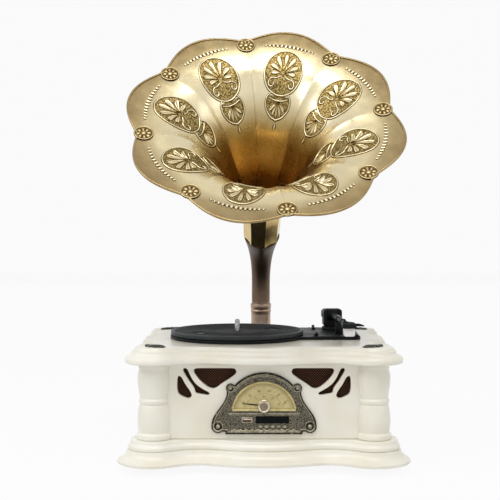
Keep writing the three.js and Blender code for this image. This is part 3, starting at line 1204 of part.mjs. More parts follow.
// The outward normal of the flare in its own half-plane, for the wall's thickness.
function wallNormal(curve, i) {
  const before = curve[Math.max(0, i - 1)];
  const after = curve[Math.min(curve.length - 1, i + 1)];
  const along = new THREE.Vector2(after.height - before.height, after.radius - before.radius).normalize();
  return { height: -along.y, radius: along.x };
}

function bellPiece() {
  const curve = flareCurve();
  const around = PETAL_COUNT * STEPS.petal;
  const turns = Array.from({ length: around }, (_, i) => (i / around) * FULL_TURN);
  const ringAt = (radius, height, share) => (
    turns.map((turn) => bellPoint(radius, height, share, turn, NOTCH_DEPTH)));
  const inner = curve.map((point) => ringAt(point.radius, point.height, point.out));
  const outer = curve.map((point, i) => {
    const normal = wallNormal(curve, i);
    const outward = point.radius + normal.radius * HORN_WALL;
    return ringAt(outward, point.height + normal.height * HORN_WALL, point.out);
  });
  const rim = curve[curve.length - 1];
  const bead = RIM_BEAD_SHARES.map(([out, up]) => (
    ringAt(rim.radius + RIM_BEAD_RADIUS * out, rim.height + RIM_BEAD_RADIUS * up, 1)));
  return ringLoft([...inner, ...bead, ...outer.reverse().slice(1)]);
}

// The octagonal neck: flat facets that meet at the seams, with a sleeve that enters the elbow.
function neckPiece() {
  const turns = Array.from({ length: PETAL_COUNT }, (_, i) => i * SEAM_ANGLE);
  const corner = 1 / Math.cos(SEAM_ANGLE / 2);
  const ringAt = (radius, height) => turns.map((turn) => (
    new THREE.Vector3(radius * corner * Math.cos(turn), radius * corner * Math.sin(turn), height)));
  const gain = BELL_THROAT_RADIUS - NECK_END_RADIUS;
  const shares = [[0, 0], [0.55, 0.22], [0.8, 0.55], [1, 1]];
  const long = NECK_LENGTH - 2 * SEAT_GAP;
  const wall = shares.map(([along, out]) => [NECK_END_RADIUS + gain * out, SEAT_GAP + long * along]);
  const inside = wall.map(([radius, height]) => ringAt(radius - HORN_WALL, height)).reverse();
  return ringLoft([...wall.map(([radius, height]) => ringAt(radius, height)), ...inside]);
}

function atHorn(geometry) {
  const run = ELBOW_BEND_RADIUS * (1 - Math.cos(HORN_TILT)) + ELBOW_STRAIGHT * Math.sin(HORN_TILT);
  return geometry.rotateZ(PETAL_TURN - QUARTER_TURN).rotateX(HORN_TILT).translate(0, -run, 0)
    .rotateZ(HORN_YAW).translate(HORN_X, HORN_Y, LID_TOP + ELBOW_JOINT_RISE);
}

// The elbow: a tube from the lid up and over to the neck, opening out into a cup at its mouth.
function elbowPiece() {
  const bendDrop = ELBOW_BEND_RADIUS * Math.sin(HORN_TILT) + ELBOW_STRAIGHT * Math.cos(HORN_TILT);
  const joint = ELBOW_JOINT_RISE;
  const bendStart = joint - bendDrop;
  const low = -SOCKET_DEPTH + SEAT_GAP;
  const stations = [];
  const add = (y, z, angle, radius) => stations.push({ y, z, angle, radius });
  const ring = COLLAR_RADIUS + COLLAR_RING;
  const collarShares = [
    [low / COLLAR_HEIGHT, COLLAR_RADIUS], [0.1, COLLAR_RADIUS], [0.13, ring], [0.18, ring],
    [0.21, COLLAR_RADIUS], [0.66, COLLAR_RADIUS], [0.7, ring], [0.76, COLLAR_RADIUS],
    [0.82, ring], [0.98, ring], [1, ELBOW_RADIUS],
  ];
  collarShares.forEach(([share, radius]) => add(0, COLLAR_HEIGHT * share, 0, radius));
  const bendSteps = 8;
  for (let i = 0; i <= bendSteps; i += 1) {
    const share = i / bendSteps;
    const angle = HORN_TILT * share;
    const opening = Math.max(0, (share - 0.25) / 0.75) ** 2;
    const radius = ELBOW_RADIUS + (ELBOW_MOUTH_RADIUS - ELBOW_RADIUS) * opening * 0.7;
    const rise = ELBOW_BEND_RADIUS * Math.sin(angle);
    add(-ELBOW_BEND_RADIUS * (1 - Math.cos(angle)), bendStart + rise, angle, radius);
  }
  const last = stations[stations.length - 1];
  add(last.y - ELBOW_STRAIGHT * Math.sin(HORN_TILT), last.z + ELBOW_STRAIGHT * Math.cos(HORN_TILT),
    HORN_TILT, ELBOW_MOUTH_RADIUS);
  const turns = Array.from({ length: STEPS.large }, (_, i) => (i / STEPS.large) * FULL_TURN);
  const ringAt = ({ y, z, angle, radius }, wall) => turns.map((turn) => {
    const across = (radius - wall) * Math.sin(turn);
    return new THREE.Vector3((radius - wall) * Math.cos(turn), y + across * Math.cos(angle),
      z + across * Math.sin(angle));
  });
  const outer = stations.map((station) => ringAt(station, 0));
  const hollow = stations.filter((station, i) => i === 0 || i > collarShares.length)
    .map((station) => ringAt(station.radius > COLLAR_RADIUS || station.angle > 0 ? station
      : { ...station, radius: ELBOW_RADIUS }, ELBOW_WALL));
  return ringLoft([...outer, ...hollow.reverse()]).rotateZ(HORN_YAW).translate(HORN_X, HORN_Y, LID_TOP);
}

// Rear sockets: a flange outside the panel and a bored barrel through it

function rearSocketPiece(index) {
  const [radius, bore] = index === 0 ? [INLET_RADIUS, INLET_BORE] : [JACK_RADIUS, JACK_BORE];
  const x = SOCKET_ROW_X - index * SOCKET_PITCH;
  const back = BACK_FACE_Y + SEAT_GAP;
  const barrel = barAlongY(radius, INLET_DEPTH, x, back - INLET_DEPTH + JACK_FLANGE / 2, SOCKET_ROW_Z,
    STEPS.small);
  const flange = barAlongY(radius + JACK_FLANGE, JACK_FLANGE, x, back, SOCKET_ROW_Z, STEPS.small);
  const hole = barAlongY(bore, INLET_DEPTH, x, back + JACK_FLANGE + CUT_OVERRUN - INLET_DEPTH, SOCKET_ROW_Z,
    STEPS.small);
  return cut(join(barrel, flange), hole);
}

// Assembly

const sides = [['left', -1], ['right', 1]];
const ends = [['front', -1], ['back', 1]];

addPiece(model, 'plinth', plinthPiece(), ivoryPaint);
addPiece(model, 'bottom_board', bottomBoardPiece(), rawBoard);
ends.forEach(([end, sideY]) => sides.forEach(([side, sideX]) => {
  const foot = addPiece(model, `foot_${end}_${side}`, footPiece(), blackRubber);
  foot.position.set(sideX * (LOBE_X + FOOT_INSET), sideY * (LOBE_Y + FOOT_INSET), 0);
  addPiece(model, `column_${end}_${side}`, groovedColumn(sideX, sideY), ivoryPaint);
  addPiece(model, `corner_ornament_${end}_${side}`, cornerOrnamentPiece(sideX, sideY), pewter);
}));
addPiece(model, 'front_panel', frontPanelPiece(), ivoryPaint);
addPiece(model, 'back_panel', backPanelPiece(), ivoryPaint);
addPiece(model, 'lid_board', lidPiece(), ivoryPaint);
sides.forEach(([side, sideX]) => {
  addPiece(model, `side_panel_${side}`, sidePanelPiece(sideX), ivoryPaint);
  addPiece(model, `speaker_cloth_${side}`, clothPiece(sideX), cloth);
  addPiece(model, `speaker_${side}`, speakerPiece(sideX), blackPlastic);
});
addPiece(model, 'radio_plate', radioPlatePiece(), pewter);
addPiece(model, 'dial_face', dialFacePiece(), creamCard);
addPiece(model, 'dial_pointer', dialPointerPiece(), blackPlastic);
addPiece(model, 'tuning_knob', tuningKnobPiece(), polishedBrass);
addPiece(model, 'usb_socket', usbSocketPiece(), steel);
addPiece(model, 'display_window', displayWindowPiece(), blackPlastic);
buttonPlaces.forEach((x, i) => addPiece(model, `push_button_${i + 1}`, buttonPiece(x), polishedBrass));
addPiece(model, 'circuit_board', circuitBoardPiece(), boardGreen);
addPiece(model, 'deck_plate', deckPiece(), blackPlastic);
addPiece(model, 'sub_platter', subPlatterPiece(), blackPlastic);
addPiece(model, 'platter', platterPiece(), blackPlastic);
addPiece(model, 'platter_mat', matPiece(), blackRubber);
addPiece(model, 'centre_pin', centrePinPiece(), steel);
addPiece(model, 'drive_belt', beltPiece(), blackRubber);
addPiece(model, 'motor_pulley', pulleyPiece(), brass);
addPiece(model, 'motor', motorPiece(), steel);
addPiece(model, 'speed_lever', leverPiece(SPEED_LEVER_Y, -QUARTER_TURN), blackPlastic);
addPiece(model, 'power_lever', leverPiece(POWER_LEVER_Y, QUARTER_TURN), blackPlastic);
addPiece(model, 'arm_base', armBasePiece(), blackPlastic);
addPiece(model, 'arm_yoke', armYokePiece(), blackPlastic);
addPiece(model, 'tonearm', tonearmPiece(), blackPlastic);
addPiece(model, 'counterweight', counterweightPiece(), blackPlastic);
addPiece(model, 'cartridge', cartridgePiece(), blackPlastic);
addPiece(model, 'stylus_guard', stylusGuardPiece(), whitePlastic);
addPiece(model, 'arm_rest', armRestPiece(), blackPlastic);
addPiece(model, 'cue_bracket', cueBracketPiece(), blackPlastic);
addPiece(model, 'cue_lever', cueLeverPiece(), blackPlastic);
addPiece(model, 'horn_bell', atHorn(bellPiece()), brass);
addPiece(model, 'horn_neck', atHorn(neckPiece()), polishedBrass);
addPiece(model, 'horn_elbow', elbowPiece(), bronze);
['dc_inlet', 'line_out_left', 'line_out_right'].forEach((name, i) => (
  addPiece(model, name, rearSocketPiece(i), i === 0 ? blackPlastic : steel)));

// The origin goes under the middle of the whole object's box.
const box = new THREE.Box3().setFromObject(model);
model.position.set(-(box.min.x + box.max.x) / 2, -(box.min.y + box.max.y) / 2, -box.min.z);

export default model;
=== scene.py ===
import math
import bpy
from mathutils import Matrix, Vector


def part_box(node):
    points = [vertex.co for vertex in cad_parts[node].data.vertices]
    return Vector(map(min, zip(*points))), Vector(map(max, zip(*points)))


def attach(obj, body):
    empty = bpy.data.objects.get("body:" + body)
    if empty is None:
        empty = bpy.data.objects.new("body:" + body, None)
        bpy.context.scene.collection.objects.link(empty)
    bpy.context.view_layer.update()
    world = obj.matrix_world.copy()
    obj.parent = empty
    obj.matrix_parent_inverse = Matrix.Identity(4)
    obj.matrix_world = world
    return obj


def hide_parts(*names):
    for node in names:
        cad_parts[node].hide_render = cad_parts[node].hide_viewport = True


bl_info = {
    "name": "Record Player Finish",
    "version": (1, 0, 0),
    "blender": (4, 5, 0),
    "location": "3D View > Sidebar > Record Player",
    "description": "Finished pieces, materials and stage for a record player with a flower horn",
    "category": "Add Mesh",
}

from contextlib import contextmanager
from functools import cache

import bmesh
import bpy
import numpy as np
from mathutils import Matrix, Vector
from mathutils.geometry import tessellate_polygon

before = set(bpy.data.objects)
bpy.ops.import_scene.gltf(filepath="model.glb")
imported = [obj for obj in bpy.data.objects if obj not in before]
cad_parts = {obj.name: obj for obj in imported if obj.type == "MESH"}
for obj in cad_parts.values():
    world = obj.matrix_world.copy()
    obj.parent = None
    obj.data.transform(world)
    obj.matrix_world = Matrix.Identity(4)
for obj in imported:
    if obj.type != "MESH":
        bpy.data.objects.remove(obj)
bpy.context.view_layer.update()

# Sizes in metres, in the frame's own coordinates. The cabinet's middle lies behind the origin,
# because the horn reaches out in front.
MM = 0.001
TAU = math.tau
UPRIGHT = Matrix.Rotation(TAU / 4, 4, "X")
CABINET_Y = sum(corner.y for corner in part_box("plinth")) / 2
LOBE = (148.5 * MM, 123 * MM)
LIP_RADIUS = 40 * MM
WAIST_DEPTH = 22 * MM
PLINTH_LOW, PLINTH_TOP = 3 * MM, 34 * MM
PLINTH_SPREAD, PLINTH_LEDGE = 10 * MM, -8 * MM
LID_LOW, LID_TOP = 136 * MM, 158 * MM
LID_INSET = 14 * MM
COLUMN_RADIUS = 22.9 * MM
PANEL_STEP = 8 * MM
FRONT_FACE_Y = CABINET_Y - LOBE[1] - PANEL_STEP
PLATE_LOW = 41 * MM
PLATE_FACE_Y = FRONT_FACE_Y - 2.7 * MM
KNOB_Z = 79.5 * MM
PLATTER = (-39.3 * MM, CABINET_Y - 3 * MM)
DECK_TOP = 162.3 * MM
MAT_TOP = 167.8 * MM
ARM_PIVOT = (104.6 * MM, CABINET_Y + 70 * MM)
ARM_Z = 184.4 * MM
LEVER_X, LEVER_Y = 76 * MM, (CABINET_Y - 14 * MM, CABINET_Y + 72 * MM)
ARM_REST_ANGLE = 0.072
HORN_BASE = (-5 * MM, CABINET_Y + 109 * MM)
HORN_YAW = 0.029
HORN_TILT = 0.8378
PETALS = 8
PETAL_TURN = 0.15
JOINT_Z = LID_TOP + 150.4 * MM
NECK_LENGTH = 69 * MM
NECK_END_RADIUS = 25.6 * MM
THROAT_RADIUS = 30.5 * MM
BELL_LENGTH = 168 * MM
PETAL_RADIUS = 192 * MM
NOTCH_DEPTH = 18.5 * MM
NOTCH_SET_BACK = 3.5 * MM
HORN_WALL = 1.2 * MM
ELBOW_RADIUS = 14.2 * MM
ELBOW_MOUTH_RADIUS = 27.4 * MM
ELBOW_BEND = 119 * MM
ELBOW_STRAIGHT = 16 * MM
COLLAR_RADIUS = 15.3 * MM
COLLAR_HEIGHT = 42 * MM


def linear(text):
    """An sRGB hex colour as linear red, green, blue and alpha."""
    parts = [int(text[i:i + 2], 16) / 255 for i in (1, 3, 5)]
    return (*(c / 12.92 if c <= 0.04045 else ((c + 0.055) / 1.055) ** 2.4 for c in parts), 1.0)


# Mesh helpers


def millimetres(*points):
    """Points given in millimetres, in metres."""
    return [tuple(value * MM for value in point) for point in points]


@contextmanager
def edited(mesh):
    """The mesh's points and faces, open for a change that is then stored."""
    work = bmesh.new()
    work.from_mesh(mesh)
    yield work
    work.to_mesh(mesh)
    work.free()


def placed(name, data, matrix=None):
    """A new object in the scene."""
    shape = bpy.data.objects.new(name, data)
    if matrix:
        shape.matrix_world = matrix
    bpy.context.scene.collection.objects.link(shape)
    return shape


def weld(mesh, distance=1e-6):
    """Joins points that lie on each other, and turns the faces outwards."""
    with edited(mesh) as work:
        bmesh.ops.remove_doubles(work, verts=work.verts, dist=distance)
        bmesh.ops.recalc_face_normals(work, faces=work.faces)


def new_mesh(name, points, faces, smooth_angle=None):
    """A mesh object from points and faces, turned outwards, smooth below the given angle."""
    mesh = bpy.data.meshes.new(name)
    mesh.from_pydata([tuple(p) for p in points], [], faces)
    weld(mesh, 1e-7)
    shape = placed(name, mesh)
    if smooth_angle is not None:
        soften(shape, smooth_angle)
    return shape


def soften(shape, angle):
    """Smooth shading, with edges sharper than the angle in degrees kept crisp."""
    mesh = shape.data
    mesh.polygons.foreach_set("use_smooth", [True] * len(mesh.polygons))
    limit = math.radians(angle)
    with edited(mesh) as work:
        for edge in work.edges:
            edge.smooth = len(edge.link_faces) == 2 and edge.calc_face_angle(0) < limit
    return shape


def join(name, shapes):
    """One object made of several, with their modifiers applied."""
    shapes = [bake(shape) for shape in shapes]
    work = bmesh.new()
    for shape in shapes:
        part = shape.data.copy()
        part.transform(shape.matrix_world)
        work.from_mesh(part)
        bpy.data.meshes.remove(part)
    mesh = bpy.data.meshes.new(name)
    work.to_mesh(mesh)
    work.free()
    for shape in shapes:
        bpy.data.objects.remove(shape)
    return placed(name, mesh)


def bake(shape):
    """The shape as a plain mesh, with its modifiers and curve settings applied."""
    bpy.context.view_layer.update()
    graph = bpy.context.evaluated_depsgraph_get()
    mesh = bpy.data.meshes.new_from_object(shape.evaluated_get(graph), depsgraph=graph)
    mesh.materials.clear()
    name, matrix = shape.name, shape.matrix_world.copy()
    bpy.data.objects.remove(shape)
    return placed(name, mesh, matrix)


def bevel(shape, width, segments, angle=30):
    """Rounded edges of a real width, only where two faces meet at more than the angle."""
    modifier = shape.modifiers.new("rounded edges", "BEVEL")
    modifier.width = width
    modifier.segments = segments
    modifier.limit_method = "ANGLE"
    modifier.angle_limit = math.radians(angle)
    return shape


def circle(radius, count):
    """Points on a circle as pairs."""
    angles = [TAU * i / count for i in range(count)]
    return [(radius * math.cos(angle), radius * math.sin(angle)) for angle in angles]


def lathe(name, profile, steps, place, along_y=False, smooth_angle=35):
    """A turned piece from radius and height pairs, about Z, or about a line back along Y."""
    points, rings = [], []
    for radius, height in profile:
        if radius < 1e-9:
            rings.append([len(points)] * steps)
            points.append((0, 0, height))
            continue
        rings.append(list(range(len(points), len(points) + steps)))
        points += [(x, y, height) for x, y in circle(radius, steps)]
    faces = loft_faces(rings)
    if along_y:
        points = [(x, -z, y) for x, y, z in points]
    points = [(x + place[0], y + place[1], z + place[2]) for x, y, z in points]
    return new_mesh(name, points, faces, smooth_angle)


def loft_faces(rings, cycle=False):
    """Faces between neighbouring rings of point numbers. A repeated number makes a triangle."""
    faces = []
    pairs = list(zip(rings, rings[1:]))
    if cycle:
        pairs.append((rings[-1], rings[0]))
    for low, high in pairs:
        for i in range(len(low)):
            j = (i + 1) % len(low)
            corners = list(dict.fromkeys((low[i], low[j], high[j], high[i])))
            if len(corners) > 2:
                faces.append(corners)
    return faces


def ring_loft(name, rings, cycle=False, caps=False, smooth_angle=35):
    """A skin over rings of points that all have the same count."""
    count = len(rings[0])
    points = [point for ring in rings for point in ring]
    numbers = [list(range(i * count, (i + 1) * count)) for i in range(len(rings))]
    faces = loft_faces(numbers, cycle=cycle)
    if caps:
        for ring in (numbers[0], numbers[-1]):
            loop = [Vector(points[number]) for number in ring]
            faces += [[ring[corner] for corner in corners]
                      for corners in tessellate_polygon([loop])]
    return new_mesh(name, points, faces, smooth_angle)


def smooth_line(points, steps):
    """A curve through the points, with this many steps between neighbours."""
    points = [np.array(p, float) for p in points]
    ends = [2 * points[0] - points[1], *points, 2 * points[-1] - points[-2]]
    line = []
    for a, b, c, d in zip(ends, ends[1:], ends[2:], ends[3:]):
        for i in range(steps):
            t = i / steps
            line.append(0.5 * (2 * b + (c - a) * t + (2 * a - 5 * b + 4 * c - d) * t ** 2
                               + (3 * b - a - 3 * c + d) * t ** 3))
    return [*line, points[-1]]


def smooth_pairs(points, steps):
    """A curve through pairs, as pairs."""
    return [tuple(p) for p in smooth_line(points, steps)]


def flat_plate(name, outline, thickness, front_y, holes, edge, steps):
    """An upright plate from an outline of x and z, with holes and rounded edges."""
    curve = bpy.data.curves.new(name, "CURVE")
    curve.dimensions = "2D"
    curve.fill_mode = "BOTH"
    for loop in (outline, *holes):
        spline = curve.splines.new("POLY")
        spline.points.add(len(loop) - 1)
        for point, (x, z) in zip(spline.points, loop):
            point.co = (x, z, 0, 1)
        spline.use_cyclic_u = True
    curve.extrude = thickness / 2 - edge
    curve.bevel_depth = edge
    curve.offset = -edge
    curve.bevel_resolution = steps
    middle = Matrix.Translation((0, front_y + thickness / 2, 0))
    plate = bake(placed(name, curve, middle @ UPRIGHT))
    plate.data.transform(plate.matrix_world)
    plate.matrix_world = Matrix.Identity(4)
    return soften(plate, 40)


def tube(name, line, radius, sides, close=False):
    """A rod that follows a line of points. The radius is one number or one for each point."""
    line = [Vector(p) for p in line]
    count = len(line)
    radii = radius if hasattr(radius, "__len__") else [radius] * count
    rings = []
    up = Vector((0, 0, 1))
    for i, point in enumerate(line):
        ahead = line[(i + 1) % count] if close else line[min(i + 1, count - 1)]
        behind = line[i - 1] if close or i else line[0]
        along = (ahead - behind).normalized()
        side = along.cross(up)
        if side.length < 1e-3:
            side = along.cross(Vector((0, 1, 0)))
        side.normalize()
        top = side.cross(along).normalized()
        rings.append([point + side * x + top * y for x, y in circle(radii[i], sides)])
    return ring_loft(name, rings, cycle=close, caps=not close, smooth_angle=50)


def block(name, low, high, edge=0.0):
    """A rounded box between two corners."""
    (x0, y0, z0), (x1, y1, z1) = low, high
    points = [(x, y, z) for z in (z0, z1) for x, y in ((x0, y0), (x1, y0), (x1, y1), (x0, y1))]
    faces = [(3, 2, 1, 0), (4, 5, 6, 7), (0, 1, 5, 4), (1, 2, 6, 5), (2, 3, 7, 6), (3, 0, 4, 7)]
    shape = new_mesh(name, points, faces)
    if edge:
        shape = bake(bevel(shape, edge, 2))
    return soften(shape, 40)


def finish_copy(node, maker, slot, body="cabinet", edge=0.0, angle=30, segments=2):
    """Finishes a CAD solid in its own shape, welded, with real rounded edges."""
    shape = placed(f"{node}_finish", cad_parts[node].data.copy())
    shape.data.materials.clear()
    with edited(shape.data) as work:
        bmesh.ops.remove_doubles(work, verts=work.verts, dist=2e-6)
        bmesh.ops.dissolve_limit(
            work, angle_limit=math.radians(1), verts=work.verts, edges=work.edges)
    if edge:
        shape = bake(bevel(shape, edge, segments, angle))
    finish_piece(soften(shape, angle), maker, slot, body, node)


def finish_piece(shape, maker, slot, body="cabinet", *nodes):
    """Gives a piece its material and its body, and hides the CAD solids that it stands for. The
    slot is not used.
    """
    shape.data.materials.clear()
    shape.data.materials.append(finish(maker))
    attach(shape, body)
    if nodes:
        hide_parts(*nodes)
# Values that a user would change


class PaintColours(bpy.types.PropertyGroup):
    """Colours of the finishes"""

    ivory: bpy.props.StringProperty(
        name="Ivory lacquer", description="sRGB hex colour of the cabinet's lacquer",
        default="#F3F0E5")
    brass: bpy.props.StringProperty(
        name="Antique brass", description="sRGB hex colour of the horn's brass", default="#CDBB8C")
    brass_dark: bpy.props.StringProperty(
        name="Brass patina", description="sRGB hex colour of the darkened brass", default="#8A7448")
    neck_gold: bpy.props.StringProperty(
        name="Polished brass", description="sRGB hex colour of the neck and the pulley",
        default="#D8BE84")
    bronze: bpy.props.StringProperty(
        name="Bronze", description="sRGB hex colour of the elbow tube", default="#5C4C3F")
    card: bpy.props.StringProperty(
        name="Dial card", description="sRGB hex colour of the dial", default="#D4C58E")


class HornSizes(bpy.types.PropertyGroup):
    """Sizes of the horn's finish"""

    around: bpy.props.IntProperty(
        name="Steps across a petal", description="Mesh steps across each petal", default=40,
        min=12, max=96)
    bead: bpy.props.FloatProperty(
        name="Rim bead", description="Radius of the rolled bead on the rim", default=2.0 * MM,
        subtype="DISTANCE", unit="LENGTH")
    relief: bpy.props.FloatProperty(
        name="Relief", description="Height of the pressed ornament", default=1.5 * MM,
        subtype="DISTANCE", unit="LENGTH")
    medallion: bpy.props.FloatProperty(
        name="Medallion", description="Radius of the round medallions at the notches",
        default=13.5 * MM, subtype="DISTANCE", unit="LENGTH")


class CabinetSizes(bpy.types.PropertyGroup):
    """Sizes of the cabinet's finish"""

    arc_steps: bpy.props.IntProperty(
        name="Steps in each curve", description="Mesh steps in each arc of the outline",
        default=16, min=6, max=40)
    cut_edge: bpy.props.FloatProperty(
        name="Cut edge", description="Rounding of the pierced openings' edges", default=0.9 * MM,
        subtype="DISTANCE", unit="LENGTH")
    column_steps: bpy.props.IntProperty(
        name="Steps round a column", description="Mesh steps round each column", default=72,
        min=24, max=160)


def colours():
    """The scene's colours of the finishes."""
    return bpy.context.scene.paint_colours


def horn_sizes():
    """The scene's sizes of the horn's finish."""
    return bpy.context.scene.horn_sizes


def cabinet_sizes():
    """The scene's sizes of the cabinet's finish."""
    return bpy.context.scene.cabinet_sizes


# Materials


def add_node(tree, kind, inputs=(), **settings):
    """A shader node with its settings. Each input is a plain value or another node's output."""
    node = tree.nodes.new(kind)
    for name, value in settings.items():
        setattr(node, name, value)
    for socket, value in dict(inputs).items():
        if isinstance(value, bpy.types.NodeSocket):
            tree.links.new(value, node.inputs[socket])
        else:
            node.inputs[socket].default_value = value
    return node


def new_finish(name, **values):
    """A material with its shader's plain values. Returns the material and its tree."""
    material = bpy.data.materials.new(name)
    material.use_nodes = True
    tree = material.node_tree
    for socket, value in values.items():
        shader_of(tree).inputs[socket.replace("_", " ")].default_value = value
    return material, tree


def shader_of(tree):
    """The shader that every finish starts with."""
    return tree.nodes["Principled BSDF"]


def place_of(tree):
    """The point on the piece in metres."""
    return add_node(tree, "ShaderNodeTexCoord").outputs["Object"]


def axes_of(tree, vector):
    """The three shares of a vector."""
    return add_node(tree, "ShaderNodeSeparateXYZ", {"Vector": vector}).outputs


def ramp(tree, value, *stops):
    """Tones along a value. Each stop is a position and a hex colour or a grey."""
    node = add_node(tree, "ShaderNodeValToRGB", {"Fac": value})
    while len(node.color_ramp.elements) < len(stops):
        node.color_ramp.elements.new(0.5)
    for element, (position, tone) in zip(node.color_ramp.elements, stops):
        element.position = position
        element.color = linear(tone) if isinstance(tone, str) else grey(tone)
    return node.outputs["Color"]


def grey(value):
    """A grey as red, green, blue and alpha."""
    return (value, value, value, 1.0)


def paint(tree, tone, socket="Base Color"):
    """Joins a tone to the shader's colour or to another of its sockets."""
    tree.links.new(tone, shader_of(tree).inputs[socket])


def bump(tree, height, depth, strength=1.0):
    """Bump of a real depth in millimetres."""
    node = add_node(tree, "ShaderNodeBump", {
        "Height": height, "Distance": depth * MM, "Strength": strength})
    paint(tree, node.outputs["Normal"], "Normal")


def noise(tree, grain, detail, roughness=0.55):
    """Noise whose grains are this many millimetres across."""
    node = add_node(tree, "ShaderNodeTexNoise", {
        "Vector": place_of(tree), "Scale": 1 / (grain * MM), "Detail": detail,
        "Roughness": roughness})
    return node.outputs["Fac"]


def cells(tree, grain):
    """Distance from the middle of round cells this many millimetres across."""
    node = add_node(tree, "ShaderNodeTexVoronoi", {
        "Vector": place_of(tree), "Scale": 1 / (grain * MM)})
    return node.outputs["Distance"]


def attribute(tree, name):
    """A value stored with the mesh."""
    return add_node(tree, "ShaderNodeAttribute", attribute_name=name).outputs["Fac"]


def mixed(tree, factor, first, second, blend="MIX"):
    """Two tones mixed by a factor."""
    inputs = {0: factor, 6: first, 7: second}
    node = add_node(tree, "ShaderNodeMix", inputs, data_type="RGBA", blend_type=blend)
    return node.outputs[2]


def measured(tree, operation, first, second=0.5, third=0.0):
    """The result of one sum."""
    inputs = {0: first, 1: second, 2: third}
    return add_node(tree, "ShaderNodeMath", inputs, operation=operation).outputs[0]


def mottled(name, grain, detail, stops, bumps=None, roughness=0.55, **values):
    """A finish that wanders through tones. Bumps give their own grain, detail and depth."""
    material, tree = new_finish(name, **values)
    paint(tree, ramp(tree, noise(tree, grain, detail, roughness), *stops))
    if bumps:
        size, levels, depth = bumps
        bump(tree, noise(tree, size, levels), depth)
    return material


def ivory_lacquer():
    """Sprayed satin lacquer on sanded wood: even, with a faint orange peel and a warm tone."""
    return mottled("ivory_satin_lacquer", 55, 2, ((0.3, colours().ivory), (0.75, "#EAE4D2")),
                   (1.6, 2, 0.02), Roughness=0.34, IOR=1.5, Coat_Weight=0.3, Coat_Roughness=0.2)


def antique_brass():
    """Spun and pressed brass under lacquer, mottled with patina, with painted shade in the throat,
    a painted highlight on the flanks and a brown band at the rim.
    """
    material, tree = new_finish(
        "antique_spun_brass", Metallic=1.0, Roughness=0.3, Coat_Weight=0.15, Coat_Roughness=0.2)
    tone = ramp(tree, noise(tree, 46, 4, 0.6), (0.32, colours().brass_dark), (0.5, "#B09A6C"),
                (0.66, colours().brass))
    # Tones by distance from the axis: painted shade darkening the throat, a painted highlight that
    # turns the flanks near white, and a darker brown band at the rim.
    shade = ramp(tree, attribute(tree, "rim_share"), (0.0, "#9E7A3C"), (0.1, "#B08C4C"),
                 (0.25, "#AE9662"), (0.42, "#F0E6C6"), (0.74, "#E2D4AC"), (0.87, "#A28E66"),
                 (1.0, "#8A7450"))
    shading = 0.72
    paint(tree, mixed(tree, shading, tone, shade))
    paint(tree, ramp(tree, noise(tree, 17, 3), (0.3, 0.2), (0.7, 0.36)), "Roughness")
    bump(tree, noise(tree, 1.1, 3), 0.02)
    return material


def relief_brass():
    """Pressed ornament: crests rubbed bright, with brown patina left along their feet."""
    material, tree = new_finish("rubbed_relief_brass", Metallic=1.0, Roughness=0.3)
    rubbing = ramp(tree, noise(tree, 9, 3), (0.3, 0.82), (0.6, 1.0))
    worn = measured(tree, "MULTIPLY", attribute(tree, "crest"), rubbing)
    paint(tree, ramp(tree, worn, (0.08, "#2E2110"), (0.3, "#6E5933"), (0.6, "#C8B485"),
                     (0.95, "#F0E6C4")))
    return material


def stippled_brass():
    """The sunk ground of the ornament: punched with small dots and left dark."""
    material, tree = new_finish("stippled_dark_brass", Metallic=1.0, Roughness=0.42)
    dots = cells(tree, 2.4)
    paint(tree, ramp(tree, dots, (0.12, "#C4B488"), (0.4, "#96804C"), (0.75, "#5E4C28")))
    bump(tree, measured(tree, "SUBTRACT", 1.0, dots), 0.3)
    return material


def polished_brass():
    """Polished and lacquered brass: clear, with fine buffing."""
    return mottled("polished_lacquered_brass", 20, 2,
                   ((0.3, "#C2A465"), (0.7, colours().neck_gold)), (0.9, 2, 0.006),
                   Metallic=1.0, Roughness=0.16)


def bronze_patina():
    """Brushed bronze under a brown patina: pale copper grey on the collar, and darker up the bend
    towards the neck.
    """
    material, tree = new_finish("bronze_brown_patina", Metallic=0.9, Roughness=0.38)
    share = add_node(tree, "ShaderNodeMapRange", {
        "Value": axes_of(tree, place_of(tree))["Z"], "From Min": LID_TOP, "From Max": JOINT_Z})
    # Tones by height: pale on the collar, then darkening up the bend as painted shade where the
    # bend turns to face downwards.
    tone = ramp(tree, share.outputs[0], (0.0, "#C4AC98"), (0.25, "#B8A08C"), (0.3, "#786452"),
                (0.62, colours().bronze), (1.0, "#463A30"))
    spots = ramp(tree, noise(tree, 12, 4), (0.35, 0.78), (0.65, 1.0))
    paint(tree, mixed(tree, 1.0, tone, spots, "MULTIPLY"))
    bump(tree, noise(tree, 1.2, 3), 0.012)
    return material


def antique_pewter():
    """Cast pewter, blackened and wiped back: pebbled, dark in its pits and bright on its grains."""
    material, tree = new_finish("antiqued_cast_pewter", Metallic=0.9, Roughness=0.42)
    pebbles = cells(tree, 1.5)
    paint(tree, ramp(tree, pebbles, (0.1, "#8E8775"), (0.5, "#5E594C"), (0.85, "#2A2823")))
    bump(tree, measured(tree, "SUBTRACT", 1.0, pebbles), 0.35)
    return material


def wiped_pewter():
    """The raised lines and bosses of the same casting, wiped bright."""
    return mottled("wiped_pewter", 5, 3, ((0.3, "#7C7664"), (0.7, "#BDB59E")),
                   Metallic=0.95, Roughness=0.3)


def blackened_pewter():
    """Cast pewter, blackened: brown-black, with silver only on its highest places."""
    return mottled("blackened_cast_pewter", 3.2, 3,
                   ((0.4, "#1D1B16"), (0.6, "#3C382F"), (0.76, "#9A9483")), (1.2, 2, 0.12),
                   Metallic=0.85, Roughness=0.42)


